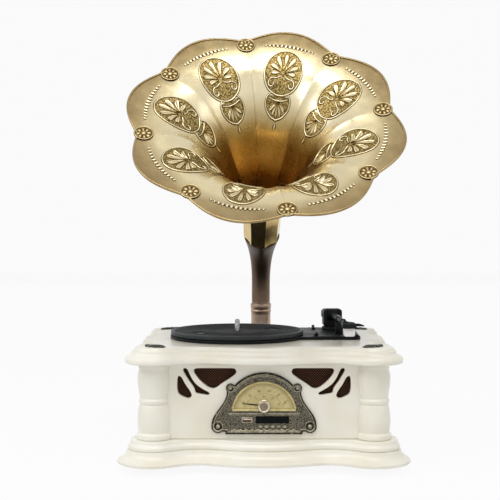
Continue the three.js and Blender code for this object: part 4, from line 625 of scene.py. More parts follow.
def charcoal_plastic(name="moulded_charcoal_abs", tone="#111315", polish=0.45):
    """Moulded ABS with a fine spark-eroded grain."""
    return mottled(name, 30, 2, ((0.35, tone), (0.7, "#1A1D1F")), (0.9, 2, 0.02),
                   Roughness=polish, IOR=1.53, Specular_IOR_Level=0.12)


def glossy_charcoal():
    """The same plastic from a polished mould."""
    return charcoal_plastic("glossy_charcoal_abs", "#1B1E20", 0.25)


def platter_plastic():
    """Matt charcoal ABS with turned rings, their spacing wide enough to show."""
    material, tree = new_finish(
        "turned_charcoal_platter", Roughness=0.5, IOR=1.5, Specular_IOR_Level=0.4)
    spot = add_node(tree, "ShaderNodeMapping", {
        "Vector": place_of(tree), "Location": (-PLATTER[0], -PLATTER[1], 0)}).outputs[0]
    axes = axes_of(tree, spot)
    squares = [measured(tree, "MULTIPLY", axes[name], axes[name]) for name in ("X", "Y")]
    radius = measured(tree, "SQRT", measured(tree, "ADD", *squares))
    ring_step = 1.8 * MM
    rings = measured(tree, "SINE", measured(tree, "MULTIPLY", radius, TAU / ring_step))
    paint(tree, ramp(tree, noise(tree, 26, 2), (0.3, "#24282B"), (0.7, "#32373A")))
    bump(tree, rings, 0.05, 0.6)
    return material


def nitrile_rubber():
    """Moulded black rubber: matt, faintly grey where it is worn."""
    return mottled("moulded_black_rubber", 14, 3, ((0.3, "#191B1C"), (0.75, "#26292A")),
                   (0.8, 2, 0.03), Roughness=0.8, IOR=1.52, Specular_IOR_Level=0.3)


def turned_steel():
    """Turned and plated steel: a clear grey."""
    return mottled("turned_plated_steel", 6, 2, ((0.3, "#8A8C8E"), (0.7, "#B0B2B3")),
                   Metallic=1.0, Roughness=0.18)


def satin_gilt():
    """Gilt plastic of the dial's ring: satin and a little green."""
    return mottled("satin_gilt_plastic", 8, 2, ((0.3, "#A89868"), (0.7, "#C8BA88")),
                   Metallic=0.75, Roughness=0.4)


def worn_nickel():
    """Nickel plate worn to a warm silver on the knob and the socket."""
    return mottled("worn_warm_nickel", 5, 3, ((0.3, "#A89B80"), (0.7, "#DCD2C0")),
                   Metallic=1.0, Roughness=0.24)


def speaker_weave():
    """Brown speaker cloth of crossed threads, 3.4 mm apart so that its rows of dots show."""
    material, tree = new_finish("brown_speaker_weave", Roughness=0.95, Specular_IOR_Level=0.2)
    axes = axes_of(tree, place_of(tree))
    thread_step = 3.4 * MM
    threads = [measured(tree, "SINE", measured(tree, "MULTIPLY", axes[name], TAU / thread_step))
               for name in ("X", "Z")]
    weave = measured(tree, "MULTIPLY_ADD", measured(tree, "MULTIPLY", *threads), 0.5, 0.5)
    paint(tree, ramp(tree, weave, (0.3, "#160C08"), (0.65, "#2E1A12"), (0.95, "#80583F")))
    bump(tree, weave, 0.4)
    return material


def printed_card():
    """Printed cream card behind the bezel, yellowed in places."""
    return mottled("cream_printed_card", 16, 3, ((0.3, "#C2B27C"), (0.7, colours().card)),
                   Roughness=0.42, IOR=1.46)


def dial_ink():
    """Brown printing ink, thinner in places."""
    return mottled("brown_dial_ink", 3, 2, ((0.3, "#5A4426"), (0.7, "#7C6238")), Roughness=0.5)


def glossy_black():
    """Black display glass over a dark film."""
    return mottled("black_display_glass", 12, 1, ((0.3, "#050606"), (0.7, "#0B0C0C")),
                   Roughness=0.2, IOR=1.45, Specular_IOR_Level=0.1)


def clear_white_plastic():
    """Thin frosted plastic of the stylus guard."""
    return mottled("frosted_white_plastic", 8, 2, ((0.3, "#FAF3F4"), (0.7, "#FFFFFF")),
                   Roughness=0.3, IOR=1.49, Transmission_Weight=0.05)


def bare_fibre_board():
    """Bare pressed fibre board: rough and mottled brown."""
    return mottled("bare_fibre_board", 2.4, 5, ((0.3, "#8E6E45"), (0.7, "#C09A66")),
                   (1.4, 3, 0.08), 0.7, Roughness=0.85)


def solder_mask():
    """Green solder mask over copper tracks."""
    material, tree = new_finish("green_solder_mask", Roughness=0.3, IOR=1.5)
    board, board_dark, track = linear("#2C6A44"), linear("#2A6340"), linear("#4C8A58")
    tracks = add_node(tree, "ShaderNodeTexBrick", {
        "Vector": place_of(tree), "Scale": 120.0, "Color1": board, "Color2": board_dark,
        "Mortar": track, "Mortar Size": 0.03})
    paint(tree, tracks.outputs["Color"])
    return material


def brown_cap():
    """Brown lacquered cap of the knob, rubbed on its dots."""
    return mottled("brown_lacquered_cap", 1.4, 3, ((0.35, "#6A594A"), (0.7, "#A8977F")),
                   Metallic=0.6, Roughness=0.35)


@cache
def finish(maker):
    """Each finish is made once and shared."""
    return maker()
# Cabinet

CORNERS = [(side_x, side_y) for side_x in (-1, 1) for side_y in (-1, 1)]


def corner_name(kind, side_x, side_y):
    """The name of a piece that stands at one of the four corners."""
    return f"{kind}_{'front' if side_y < 0 else 'back'}_{'left' if side_x < 0 else 'right'}"


def outline_arcs():
    """The arcs of the right half, from the front's middle to the back's: centre, radius, hollow."""
    front_waist_x, side_waist_y = 86 * MM, 66 * MM
    front_drop, side_drop = 5.5 * MM, 1.5 * MM

    def hollow_radius(sideways):
        inward = WAIST_DEPTH - LIP_RADIUS
        return (sideways ** 2 + inward ** 2 - LIP_RADIUS ** 2) / (2 * WAIST_DEPTH)

    waist_y = -(LOBE[1] + LIP_RADIUS - WAIST_DEPTH)
    front_hollow = hollow_radius(LOBE[0] - front_waist_x)
    front_rise = WAIST_DEPTH - front_drop
    front_bulge = (front_waist_x ** 2 + front_rise ** 2) / (2 * front_rise) - front_hollow
    waist_x = LOBE[0] + LIP_RADIUS - WAIST_DEPTH
    side_hollow = hollow_radius(LOBE[1] - side_waist_y)
    side_rise = WAIST_DEPTH - side_drop
    side_bulge = (side_waist_y ** 2 + side_rise ** 2) / (2 * side_rise) - side_hollow
    return [
        (0, waist_y - front_rise + front_bulge, front_bulge, False),
        (front_waist_x, waist_y - front_hollow, front_hollow, True),
        (LOBE[0], -LOBE[1], LIP_RADIUS, False),
        (waist_x + side_hollow, -side_waist_y, side_hollow, True),
        (waist_x + side_rise - side_bulge, 0, side_bulge, False),
        (waist_x + side_hollow, side_waist_y, side_hollow, True),
        (LOBE[0], LOBE[1], LIP_RADIUS, False),
    ]


def outline_at(offset):
    """The serpentine outline moved outwards by an offset, as x and y pairs of the frame."""
    arcs = outline_arcs()
    steps = cabinet_sizes().arc_steps
    right = []
    for i, (x, y, radius, hollow) in enumerate(arcs):
        tight = radius < 60 * MM and not hollow
        radius += -offset if hollow else offset

        def angle_to(other):
            return math.atan2(other[1] - y, other[0] - x)

        start = -TAU / 4 if i == 0 else angle_to(arcs[i - 1])
        end = TAU / 4 if i == len(arcs) - 1 else angle_to(arcs[i + 1])
        if hollow and end > start:
            end -= TAU
        if not hollow and end < start:
            end += TAU
        count = 2 * steps if tight else steps
        for step in range(0 if i == 0 else 1, count + 1):
            angle = start + (end - start) * step / count
            right.append((x + radius * math.cos(angle), y + radius * math.sin(angle)))
    whole = right + [(-x, y) for x, y in reversed(right[1:-1])]
    return [(x, CABINET_Y + y) for x, y in whole]


def moulding(name, profile, opening=None):
    """A moulding from offset and height pairs, with an opening of half width and half depth."""
    rings = [[(x, y, height) for x, y in outline_at(offset)] for offset, height in profile]
    if opening is None:
        return ring_loft(name, rings, caps=True, smooth_angle=38)
    inner = []
    for x, y in outline_at(0):
        share = min(opening[0] / max(abs(x), 1e-9), opening[1] / max(abs(y - CABINET_Y), 1e-9))
        inner.append([x * share, CABINET_Y + (y - CABINET_Y) * share])
    for side_x, side_y in CORNERS:
        corner = (side_x * opening[0], CABINET_Y + side_y * opening[1])
        nearest = min(inner, key=lambda p: math.dist(p, corner))
        nearest[:] = corner
    for height in (profile[-1][1], profile[0][1]):
        rings.append([(x, y, height) for x, y in inner])
    return ring_loft(name, rings, cycle=True, smooth_angle=38)


def cut_away(shape, *tools):
    """Takes the tools' forms out of the shape."""
    for tool in tools:
        modifier = shape.modifiers.new("opening", "BOOLEAN")
        modifier.object = tool
        modifier.operation = "DIFFERENCE"
        modifier.solver = "EXACT"
    name = shape.name
    result = bake(shape)
    for tool in tools:
        bpy.data.objects.remove(tool)
    result.name = name
    return result


def bore(name, radius, low, high, steps, place):
    """A round tool that bores a seat."""
    return lathe(name, [(0, low), (radius, low), (radius, high), (0, high)], steps, place)


def soft_polygon(points, rounding):
    """A polygon whose corners are rounded by short curves."""
    points = [np.array(p, float) for p in points]
    count, steps = len(points), 5
    line = []
    for i, corner in enumerate(points):
        ends = []
        for other in (points[i - 1], points[(i + 1) % count]):
            step = other - corner
            length = np.linalg.norm(step)
            ends.append(corner + step * (min(rounding, length / 2) / length))
        for k in range(steps + 1):
            t = k / steps
            line.append(tuple((1 - t) ** 2 * ends[0] + 2 * t * (1 - t) * corner + t ** 2 * ends[1]))
    return line


def plinth_shape():
    """The base moulding: a spreading foot, a deep cove, a groove and a rounded shoulder."""
    spread = PLINTH_SPREAD - PLINTH_LEDGE
    height = PLINTH_TOP - PLINTH_LOW

    def at(shares):
        return [(PLINTH_LEDGE + spread * out, PLINTH_LOW + height * up) for out, up in shares]

    foot = at([(0.95, 0), (0.982, 0.008), (0.996, 0.04), (0.996, 0.085)])
    cove = smooth_pairs(at([
        (0.985, 0.115), (0.74, 0.21), (0.54, 0.285), (0.42, 0.36), (0.33, 0.46), (0.28, 0.56)]), 3)
    groove = at([(0.27, 0.57), (0.13, 0.585), (0.13, 0.615), (0.2, 0.63)])
    shoulder = smooth_pairs(at([
        (0.2, 0.7), (0.185, 0.75), (0.12, 0.81), (0.05, 0.86), (0.02, 0.93), (0, 0.985)]), 2)
    lip = at([(-0.015, 1)])
    opening = (138 * MM, 111 * MM)
    return moulding("plinth_finish", foot + cove + groove + shoulder + lip, opening)


def lid_shape():
    """The lid: an ogee edge with a rounded lip, and the seats that are bored into it."""
    height = LID_TOP - LID_LOW

    def at(shares):
        return [(-LID_INSET * inward, LID_LOW + height * up) for inward, up in shares]

    lip = smooth_pairs(at([
        (0.3, 0), (0.12, 0.03), (0.03, 0.08), (0, 0.15), (0, 0.27), (0.05, 0.37), (0.16, 0.45)]), 3)
    ogee = smooth_pairs(at([
        (0.34, 0.49), (0.47, 0.54), (0.6, 0.61), (0.67, 0.7), (0.69, 0.78)]), 3)
    step = smooth_pairs(at([
        (0.82, 0.82), (0.84, 0.86), (0.91, 0.92), (0.98, 0.985), (1.08, 1)]), 3)
    lid = moulding("lid_board_finish", lip + ogee + step)
    low, high = LID_LOW - MM, LID_TOP + MM
    well, arm, lever, socket = 91.8 * MM, 5.3 * MM, 3.9 * MM, COLLAR_RADIUS + 0.6 * MM
    tools = [bore("well_seat", well, low, high, 96, (*PLATTER, 0)),
             bore("horn_seat", socket, LID_TOP - 16 * MM, high, 48, (*HORN_BASE, 0)),
             bore("arm_seat", arm, low, high, 32, (*ARM_PIVOT, 0))]
    tools += [bore("lever_seat", lever, low, high, 24, (LEVER_X, y, 0)) for y in LEVER_Y]
    return soften(cut_away(lid, *tools), 38)


def column_shape(side_x, side_y):
    """A turned corner column: base ring, lower barrel, middle ring, upper barrel and collar."""
    low = PLINTH_TOP + 0.3 * MM
    height = 101.4 * MM

    def at(shares):
        return [(COLUMN_RADIUS * out, low + height * up) for out, up in shares]

    parts = at([(0, 0)])
    parts += smooth_pairs(at([
        (1.03, 0), (1.055, 0.008), (1.06, 0.03), (1.055, 0.06), (1.02, 0.072)]), 2)
    parts += smooth_pairs(at([
        (0.935, 0.085), (0.965, 0.13), (0.995, 0.2), (1.0, 0.25), (0.975, 0.34), (0.92, 0.42),
        (0.865, 0.462)]), 3)
    parts += smooth_pairs(at([
        (0.9, 0.472), (0.925, 0.483), (0.932, 0.5), (0.925, 0.52), (0.9, 0.531)]), 2)
    parts += smooth_pairs(at([
        (0.862, 0.541), (0.915, 0.62), (0.975, 0.71), (1.0, 0.79), (0.985, 0.85), (0.94, 0.895),
        (0.9, 0.918)]), 3)
    parts += at([(0.905, 0.928), (0.93, 0.936), (0.94, 0.945), (0.94, 0.99), (0.93, 1), (0, 1)])
    place = (side_x * LOBE[0], CABINET_Y + side_y * LOBE[1], 0)
    name = corner_name("column", side_x, side_y)
    column = lathe(f"{name}_finish", parts, cabinet_sizes().column_steps, place, smooth_angle=32)
    half, step, reach = 4.8 * MM, PANEL_STEP - 4.5 * MM, 30 * MM
    groove_depth, slack = 8.9 * MM, 0.3 * MM
    tenon = COLUMN_RADIUS - groove_depth - slack
    tools = []
    for along_x in (True, False):
        inward, across = (side_x, side_y) if along_x else (side_y, side_x)
        a = sorted((-tenon * inward, -reach * inward))
        b = (across * step - half, across * step + half)
        xs, ys = (a, b) if along_x else (b, a)
        tools.append(block("groove", (place[0] + xs[0], place[1] + ys[0], low - MM),
                           (place[0] + xs[1], place[1] + ys[1], low + height + MM)))
    return soften(cut_away(column, *tools), 32)


# Corners of the three openings in each half of the front panel, as shares of their width and height
BROAD_LEAF = ((0.02, 1), (0.7, 1), (0.72, 0.9), (0.66, 0.73), (0.57, 0.56), (0.45, 0.4),
              (0.35, 0.38), (0.24, 0.54), (0.12, 0.67), (0, 0.82), (-0.01, 0.92))
STEM = ((0.83, 1), (0.89, 1), (0.9, 0.93), (0.79, 0.6), (0.7, 0.4), (0.69, 0.25), (0.62, 0.23),
        (0.5, 0.19), (0.45, 0.2), (0.44, 0.26), (0.56, 0.37), (0.67, 0.5), (0.74, 0.66),
        (0.79, 0.84))
NARROW_LEAF = ((0.99, 0.77), (0.93, 0.76), (0.86, 0.52), (0.77, 0.3), (0.74, 0.16), (0.8, 0.08),
               (0.88, 0.13), (0.98, 0.22), (1, 0.45))
PANEL_LOW, PANEL_HIGH = 34.3 * MM, 135.7 * MM
PANEL_HALF = 134.5 * MM


def grille_loop(shares, side):
    """The outline of one pierced opening."""
    near, width, height = 38 * MM, 79.5 * MM, 45 * MM
    base = PANEL_HIGH - 6 * MM - height
    points = [(side * (near + width * out), base + height * up) for out, up in shares]
    return soft_polygon(points, 5 * MM)


def front_panel_shape():
    """The front panel, its six pierced openings and the radio's opening cut with rounded edges."""
    half, window, low = PANEL_HALF, 43 * MM, PLATE_LOW + 7.5 * MM
    high = low + 48 * MM
    outline = [(-half, PANEL_LOW), (half, PANEL_LOW), (half, PANEL_HIGH), (-half, PANEL_HIGH)]
    holes = [grille_loop(shares, side)
             for side in (-1, 1) for shares in (BROAD_LEAF, STEM, NARROW_LEAF)]
    holes.append(soft_polygon([(-window, low), (window, low), (window, high), (-window, high)],
                              3 * MM))
    return flat_plate("front_panel_finish", outline, 9 * MM, FRONT_FACE_Y, holes,
                      cabinet_sizes().cut_edge, 3)


def ornament_shape(side_x, side_y):
    """A cast corner ornament: an open fan of ribs, scrolls and lobes that spring from a boss."""
    size, inward = 25 * MM, 8.5 * MM
    lobes, first = 5, -0.35
    sweep = TAU / 4 - 2 * first
    centre = Vector((side_x * (LOBE[0] - inward), CABINET_Y + side_y * (LOBE[1] - inward),
                     LID_TOP + 0.3 * MM))

    def at(share, angle):
        reach = size * share
        return centre + Vector((side_x * reach * math.cos(angle), side_y * reach * math.sin(angle),
                                0.4 * MM))

    wires = []
    for i in range(lobes):
        start, end = first + sweep * i / lobes, first + sweep * (i + 1) / lobes
        middle = (start + end) / 2
        foot, top, other_foot = at(0.74, start), at(1.04, middle), at(0.74, end)
        lobe = [(1 - t) ** 2 * foot + 2 * t * (1 - t) * top + t * t * other_foot
                for t in (k / 8 for k in range(9))]
        wires.append(tube("lobe", lobe, 1.1 * MM, 6))
        wires.append(tube("rib", [at(share, middle) for share in (0.1, 0.3, 0.55, 0.84)],
                          [1.3 * MM, 1.2 * MM, 1.1 * MM, 0.8 * MM], 6))
        for turn in (-1, 1):
            spiral = [at(0.62 + 0.12 * math.cos(a), middle + turn * (0.05 + 0.12 * math.sin(a)))
                      for a in (2.6 * k / 9 for k in range(10))]
            wires.append(tube("scroll", spiral, 0.85 * MM, 6))
    boss = millimetres((0, 1.0), (1.2, 0.95), (2.2, 0.7), (2.9, 0.1), (2.9, 0), (0, 0))
    wires.append(lathe("boss", boss, 24, tuple(centre)))
    name = corner_name("corner_ornament", side_x, side_y)
    return soften(join(f"{name}_finish", wires), 45)


class RECORDPLAYER_OT_cabinet(bpy.types.Operator):
    """Adds the moulded plinth and lid, the panels and the four turned columns"""

    bl_idname = "record_player.cabinet"
    bl_label = "Cabinet"

    def execute(self, context):
        paint = (ivory_lacquer, "ivory_paint", "cabinet")
        finish_piece(plinth_shape(), *paint, "plinth")
        finish_piece(lid_shape(), *paint, "lid_board")
        finish_piece(front_panel_shape(), *paint, "front_panel")
        for corner in CORNERS:
            finish_piece(column_shape(*corner), *paint, corner_name("column", *corner))
        for node in ("side_panel_left", "side_panel_right", "back_panel"):
            finish_copy(node, *paint, 0.6 * MM)
        finish_copy("bottom_board", bare_fibre_board, "raw_board", edge=0.5 * MM)
        for node in ("foot_front_left", "foot_front_right", "foot_back_left", "foot_back_right"):
            low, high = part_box(node)
            middle = ((low.x + high.x) / 2, (low.y + high.y) / 2, 0)
            profile = millimetres((0, 0), (9.2, 0), (10.6, 0.5), (11, 1.5), (11, 2.7), (0, 2.7))
            foot = lathe(f"{node}_finish", profile, 40, middle)
            finish_piece(foot, nitrile_rubber, "black_rubber", "cabinet", node)
        return {"FINISHED"}


class RECORDPLAYER_OT_ornaments(bpy.types.Operator):
    """Adds the four cast ornaments on the lid's corners"""

    bl_idname = "record_player.ornaments"
    bl_label = "Corner Ornaments"

    def execute(self, context):
        for corner in CORNERS:
            finish_piece(ornament_shape(*corner), blackened_pewter, "aged_pewter", "cabinet",
                         corner_name("corner_ornament", *corner))
        return {"FINISHED"}


class RECORDPLAYER_OT_sound(bpy.types.Operator):
    """Adds the speaker cloth and the loudspeakers behind the pierced openings"""

    bl_idname = "record_player.sound"
    bl_label = "Speakers"

    def execute(self, context):
        for side in ("left", "right"):
            finish_copy(f"speaker_cloth_{side}", speaker_weave, "speaker_cloth")
            finish_copy(f"speaker_{side}", charcoal_plastic, "black_plastic", angle=40)
        return {"FINISHED"}
# Radio plate, dial and controls

LOWER_EAR = (62 * MM, PLATE_LOW + 10.5 * MM, 9 * MM)
UPPER_EAR = (45 * MM, PLATE_LOW + 62 * MM, 6.5 * MM)
BOSSES = [(side * x, z, radius) for x, z, radius in (LOWER_EAR, UPPER_EAR) for side in (-1, 1)]
ARCH_Z, ARCH_RADIUS = PLATE_LOW + 29.5 * MM, 54 * MM
DIAL_Z, DIAL_RADIUS = PLATE_LOW + 27 * MM, 42 * MM
SILL_Z = PLATE_LOW + 33.5 * MM
KNOB_Y = PLATE_FACE_Y - 1.6 * MM
SILL_PANEL = ((0, PLATE_LOW + 15.75 * MM), 99.2 * MM, 27 * MM)
USB_MIDDLE = (-22.8 * MM, PLATE_LOW + 19.5 * MM)
DISPLAY_MIDDLE = (11.4 * MM, PLATE_LOW + 19.5 * MM)
BUTTONS = [(DISPLAY_MIDDLE[0] + (i - 2) * 8 * MM, PLATE_LOW + 11 * MM) for i in range(5)]


def arc_line(x, z, radius, start, end, steps):
    """Points of x and z along an arc."""
    angles = [start + (end - start) * k / steps for k in range(steps + 1)]
    return [(x + radius * math.cos(a), z + radius * math.sin(a)) for a in angles]


def plate_outline(inset=0.0):
    """The plate's outline: sill, lower ear, sweep, upper ear and arch, moved inwards."""
    half = 52 * MM - inset
    lower_angles, upper_angles, arch_start = (-2.36, 0.18), (-0.7, 2.48), 0.742
    low_x, low_z, low_r = LOWER_EAR
    up_x, up_z, up_r = UPPER_EAR
    lower = arc_line(low_x, low_z, low_r - inset, *lower_angles, 20)
    upper = arc_line(up_x, up_z, up_r - inset, *upper_angles, 18)
    start, end = np.array(lower[-1]), np.array(upper[0])
    rise = end[1] - start[1]
    first, second = start + (0, rise * 0.4), end - (0, rise * 0.45)
    sweep = [tuple((1 - t) ** 3 * start + 3 * t * (1 - t) ** 2 * first
                   + 3 * t * t * (1 - t) * second + t ** 3 * end)
             for t in (k / 16 for k in range(1, 16))]
    arch = arc_line(0.0, ARCH_Z, ARCH_RADIUS - inset, arch_start, TAU / 4, 22)
    right = [(0, PLATE_LOW + inset), (half, PLATE_LOW + inset),
             (half, low_z - (low_r - inset) * 0.8), *lower, *sweep, *upper, *arch]
    return right + [(-x, z) for x, z in reversed(right[1:-1])]


def dial_outline(radius, sill, steps=48):
    """The dial's arc above a sill."""
    start = math.asin((sill - DIAL_Z) / radius)
    return arc_line(0, DIAL_Z, radius, start, TAU / 2 - start, steps)


def box_outline(middle, width, height, margin=0.0):
    """A rectangle of x and z, made wider on each side by a margin."""
    x, z = middle
    half, rise = (width + 2 * margin) / 2, (height + 2 * margin) / 2
    return [(x - half, z - rise), (x + half, z - rise), (x + half, z + rise), (x - half, z + rise)]


def upright(line, y):
    """Points of x and z set upright at a depth."""
    return [(x, y, z) for x, z in line]


def plate_holes():
    """The openings for the socket, the display and the five buttons."""
    margin = 0.3 * MM
    socket, display, button = millimetres((14.4, 7.2), (44, 9.2), (5.7, 3.5))
    return [box_outline(USB_MIDDLE, *socket, margin),
            box_outline(DISPLAY_MIDDLE, *display, margin),
            *[box_outline(middle, *button) for middle in BUTTONS]]


def radio_plate_shape():
    """The cast plate: its pebbled ground with the sill panel, both with their openings."""
    holes = plate_holes()
    ground = flat_plate("plate ground", plate_outline(), 2.4 * MM, PLATE_FACE_Y,
                        [dial_outline(DIAL_RADIUS, SILL_Z), *holes], 0.35 * MM, 2)
    panel = flat_plate("sill panel", box_outline(*SILL_PANEL), 1.2 * MM,
                       PLATE_FACE_Y - 0.55 * MM, holes, 0.3 * MM, 2)
    return soften(join("radio_plate_finish", [ground, panel]), 40)


def plate_edge_shapes():
    """The blackened outer edge of the plate and the dishes of its four bosses."""
    rim = upright(plate_outline(1.3 * MM), PLATE_FACE_Y)
    parts = [tube("rim", rim, 1.1 * MM, 10, close=True)]
    for x, z, radius in BOSSES:
        dish = radius * 0.68
        profile = [(0, 0), (dish, 0), (dish, 0.45 * MM), (dish * 0.95, 0.6 * MM),
                   (dish * 0.6, 0.3 * MM), (0, 0.3 * MM)]
        parts.append(lathe("dish", profile, 36, (x, PLATE_FACE_Y + 0.1 * MM, z), along_y=True))
    return parts


def plate_trim_shapes():
    """Raised bright lines: inner rim, boss rings and domes, the sill's border and zigzag row."""
    y = PLATE_FACE_Y - 0.2 * MM
    parts = [tube("inner rim", upright(plate_outline(3.4 * MM), y), 0.6 * MM, 8, close=True)]
    for x, z, radius in BOSSES:
        ring = [(x + a, y - 0.2 * MM, z + b) for a, b in circle(radius * 0.74, 32)]
        parts.append(tube("boss ring", ring, 0.6 * MM, 8, close=True))
        profile = [(radius * 0.33 * math.cos(a), 1.9 * MM * math.sin(a))
                   for a in np.linspace(0, TAU / 4, 8)]
        parts.append(lathe("dome", [(0, 0), *profile], 28, (x, y, z), along_y=True))
    for inset, size in ((0.9 * MM, 0.5 * MM), (2.8 * MM, 0.32 * MM)):
        border = upright(box_outline(*SILL_PANEL, -inset), PLATE_FACE_Y - 0.6 * MM)
        parts.append(tube("sill border", border, size, 8, close=True))
    count, row, row_low, row_height = 22, 88 * MM, 4.4, 2.3
    zigzag = [((i / count - 0.5) * row, PLATE_LOW + (row_low + row_height * (i % 2)) * MM)
              for i in range(count + 1)]
    parts.append(tube("zigzag", upright(zigzag, PLATE_FACE_Y - 0.75 * MM), 0.62 * MM, 6))
    start, arch_radius = 0.62, 48.6 * MM
    arch = arc_line(0, ARCH_Z, arch_radius, start, TAU / 2 - start, 40)
    parts.append(tube("arch line", upright(arch, y), 0.45 * MM, 8))
    return parts


def bezel_shape():
    """The satin gilt ring round the dial, closed below by its sill bar."""
    line = dial_outline(DIAL_RADIUS + 0.9 * MM, SILL_Z - 0.9 * MM, 64)
    ring = tube("dial_bezel", upright(line, PLATE_FACE_Y - 0.35 * MM), 1.6 * MM, 12, close=True)
    return soften(ring, 50)


def text_shape(words, size, place, turn):
    """Raised print, centred on a point, turned about it and facing the front."""
    curve = bpy.data.curves.new("print", "FONT")
    curve.body = words
    curve.size = size
    curve.extrude = 0.06 * MM
    curve.align_x = curve.align_y = "CENTER"
    curve.resolution_u = 3
    stand = Matrix.Translation(place) @ Matrix.Rotation(-turn, 4, "Y") @ UPRIGHT
    return placed("print", curve, stand)


# Each scale's numbers, their size and radius, the first one's angle and the step to the next
DIAL_SCALES = (((88, 92, 96, 100, 104, 108), 4.4, 31.5, 152, 24.8),
               ((54, 70, 90, 120, 160), 3.2, 23.8, 146, 28))


def dial_print_shapes():
    """Plain numbers and fine marks on the dial's arc."""
    y = PLATE_FACE_Y + 1.2 * MM

    def at(radius, angle):
        return (radius * MM * math.cos(angle), y, DIAL_Z + radius * MM * math.sin(angle))

    parts = []
    outside, clear_of_sill = 38.6, SILL_Z + 1.5 * MM
    for i in range(41):
        angle = math.radians(170 - i * 4)
        inside, thick = (35.2, 0.22 * MM) if i % 5 == 0 else (36.6, 0.13 * MM)
        line = [at(inside, angle), at(outside, angle)]
        if line[0][2] > clear_of_sill:
            parts.append(tube("mark", line, thick, 6))
    for numbers, size, radius, first, step in DIAL_SCALES:
        for i, number in enumerate(numbers):
            angle = math.radians(first - i * step)
            parts.append(text_shape(str(number), size * MM, at(radius, angle), TAU / 4 - angle))
    for radius in (39.4 * MM, 27.6 * MM):
        arc = upright(dial_outline(radius, SILL_Z + MM)[1:-1], y)
        parts.append(tube("dial line", arc, 0.16 * MM, 6))
    return parts


def knob_shape():
    """The tuning knob: a knurled skirt, a turned ring and a sunk cap, on its spindle."""
    profile = millimetres(
        (0, -13), (3, -13), (3, 0), (7.954, 0), (8.2, 0.4), (8.2, 1.0), (7.913, 1.3), (7.913, 6.9),
        (8.2, 7.3), (8.118, 8.1), (7.626, 8.75), (6.97, 9), (6.272, 9), (5.88, 8.85), (5.6, 8.55),
        (5.6, 8.2), (0, 8.2))
    place = (0, KNOB_Y, KNOB_Z)
    knob = lathe("tuning_knob_finish", profile, 96, place, along_y=True, smooth_angle=30)
    skirt_low, skirt_high, skirt_inside = 1.3 * MM, 6.95 * MM, 7 * MM
    flutes, flute_share = 32, 0.02
    for vertex in knob.data.vertices:
        x, z = vertex.co.x, vertex.co.z - KNOB_Z
        if skirt_low < KNOB_Y - vertex.co.y < skirt_high and math.hypot(x, z) > skirt_inside:
            share = 1 - flute_share * (1 + math.cos(flutes * math.atan2(z, x)))
            vertex.co.x, vertex.co.z = x * share, KNOB_Z + z * share
    return knob


def knob_cap_shape():
    """The knob's brown cap with a ring of dots round a raised middle."""
    y = KNOB_Y - 8.2 * MM
    cap = millimetres((0, 0), (5.5, 0), (5.5, 0.1), (5.2, 0.22), (2.1, 0.3), (1.9, 0.6),
                      (1.2, 0.75), (0, 0.78))
    dot = millimetres((0.62, 0), (0.55, 0.3), (0.3, 0.45), (0, 0.5))
    parts = [lathe("cap", cap, 48, (0, y, KNOB_Z), along_y=True)]
    for x, z in circle(3.8 * MM, 12):
        parts.append(lathe("dot", dot, 10, (x, y - 0.2 * MM, KNOB_Z + z), along_y=True))
    return join("tuning_knob_cap", parts)


def button_mark_shapes():
    """A small raised mark above each push button: arrows, bars and rings, with no words."""
    arrow, bar = ((0.7, 0.7), (-0.6, 0), (0.7, -0.7)), ((0.45, -0.7), (0.45, 0.7))
    ring, above_button = (circle(0.7, 16), 0.15, True), 3.1 * MM
    marks = ([ring], [(arrow, 0.16, False)],
             [([(side * x, z) for x, z in bar], 0.17, False) for side in (-1, 1)],
             [([(-x, z) for x, z in arrow], 0.16, False)], [ring])
    parts = []
    for (x, z), lines in zip(BUTTONS, marks):
        for line, size, close in lines:
            points = [(x + a * MM, z + above_button + b * MM) for a, b in line]
            raised = upright(points, PLATE_FACE_Y - 0.6 * MM)
            parts.append(tube("mark", raised, size * MM, 6, close))
    return parts


class RECORDPLAYER_OT_radio(bpy.types.Operator):
    """Adds the cast radio plate, the dial, the knob, the socket, the display and the buttons"""

    bl_idname = "record_player.radio"
    bl_label = "Radio Panel"

    def execute(self, context):
        finish_piece(radio_plate_shape(), antique_pewter, "aged_pewter", "cabinet", "radio_plate")
        finish_piece(join("radio_plate_trim", plate_trim_shapes()), wiped_pewter, "aged_pewter")
        finish_piece(join("radio_plate_edge", plate_edge_shapes()), blackened_pewter, "aged_pewter")
        finish_piece(bezel_shape(), satin_gilt, "polished_brass")
        finish_copy("dial_face", printed_card, "dial_card")
        finish_piece(join("dial_print", dial_print_shapes()), dial_ink, "dial_card")
        finish_copy("dial_pointer", charcoal_plastic, "black_plastic", "tuner", 0.12 * MM)
        finish_piece(knob_shape(), worn_nickel, "polished_brass", "tuner", "tuning_knob")
        finish_piece(knob_cap_shape(), brown_cap, "polished_brass", "tuner")
        finish_copy("usb_socket", worn_nickel, "steel", edge=0.25 * MM)
        finish_copy("display_window", glossy_black, "black_plastic", edge=0.4 * MM)
        for i in range(1, 6):
            finish_copy(f"push_button_{i}", wiped_pewter, "polished_brass", f"button_{i}",
                        0.35 * MM)
        finish_piece(join("button_marks", button_mark_shapes()), wiped_pewter, "aged_pewter")
        finish_copy("circuit_board", solder_mask, "board_green", edge=0.2 * MM)
        return {"FINISHED"}
# Turntable and tonearm

ARM_LENGTH = 172 * MM
DECK_PLATE = ((30 * MM, CABINET_Y - 41 * MM), (139 * MM, CABINET_Y + 97 * MM))


def at_arm(shape):
    """Sets a piece that is drawn along -Y from the arm's post in its place at rest."""
    post = Matrix.Translation((*ARM_PIVOT, 0))
    shape.data.transform(post @ Matrix.Rotation(ARM_REST_ANGLE, 4, "Z"))
    return shape


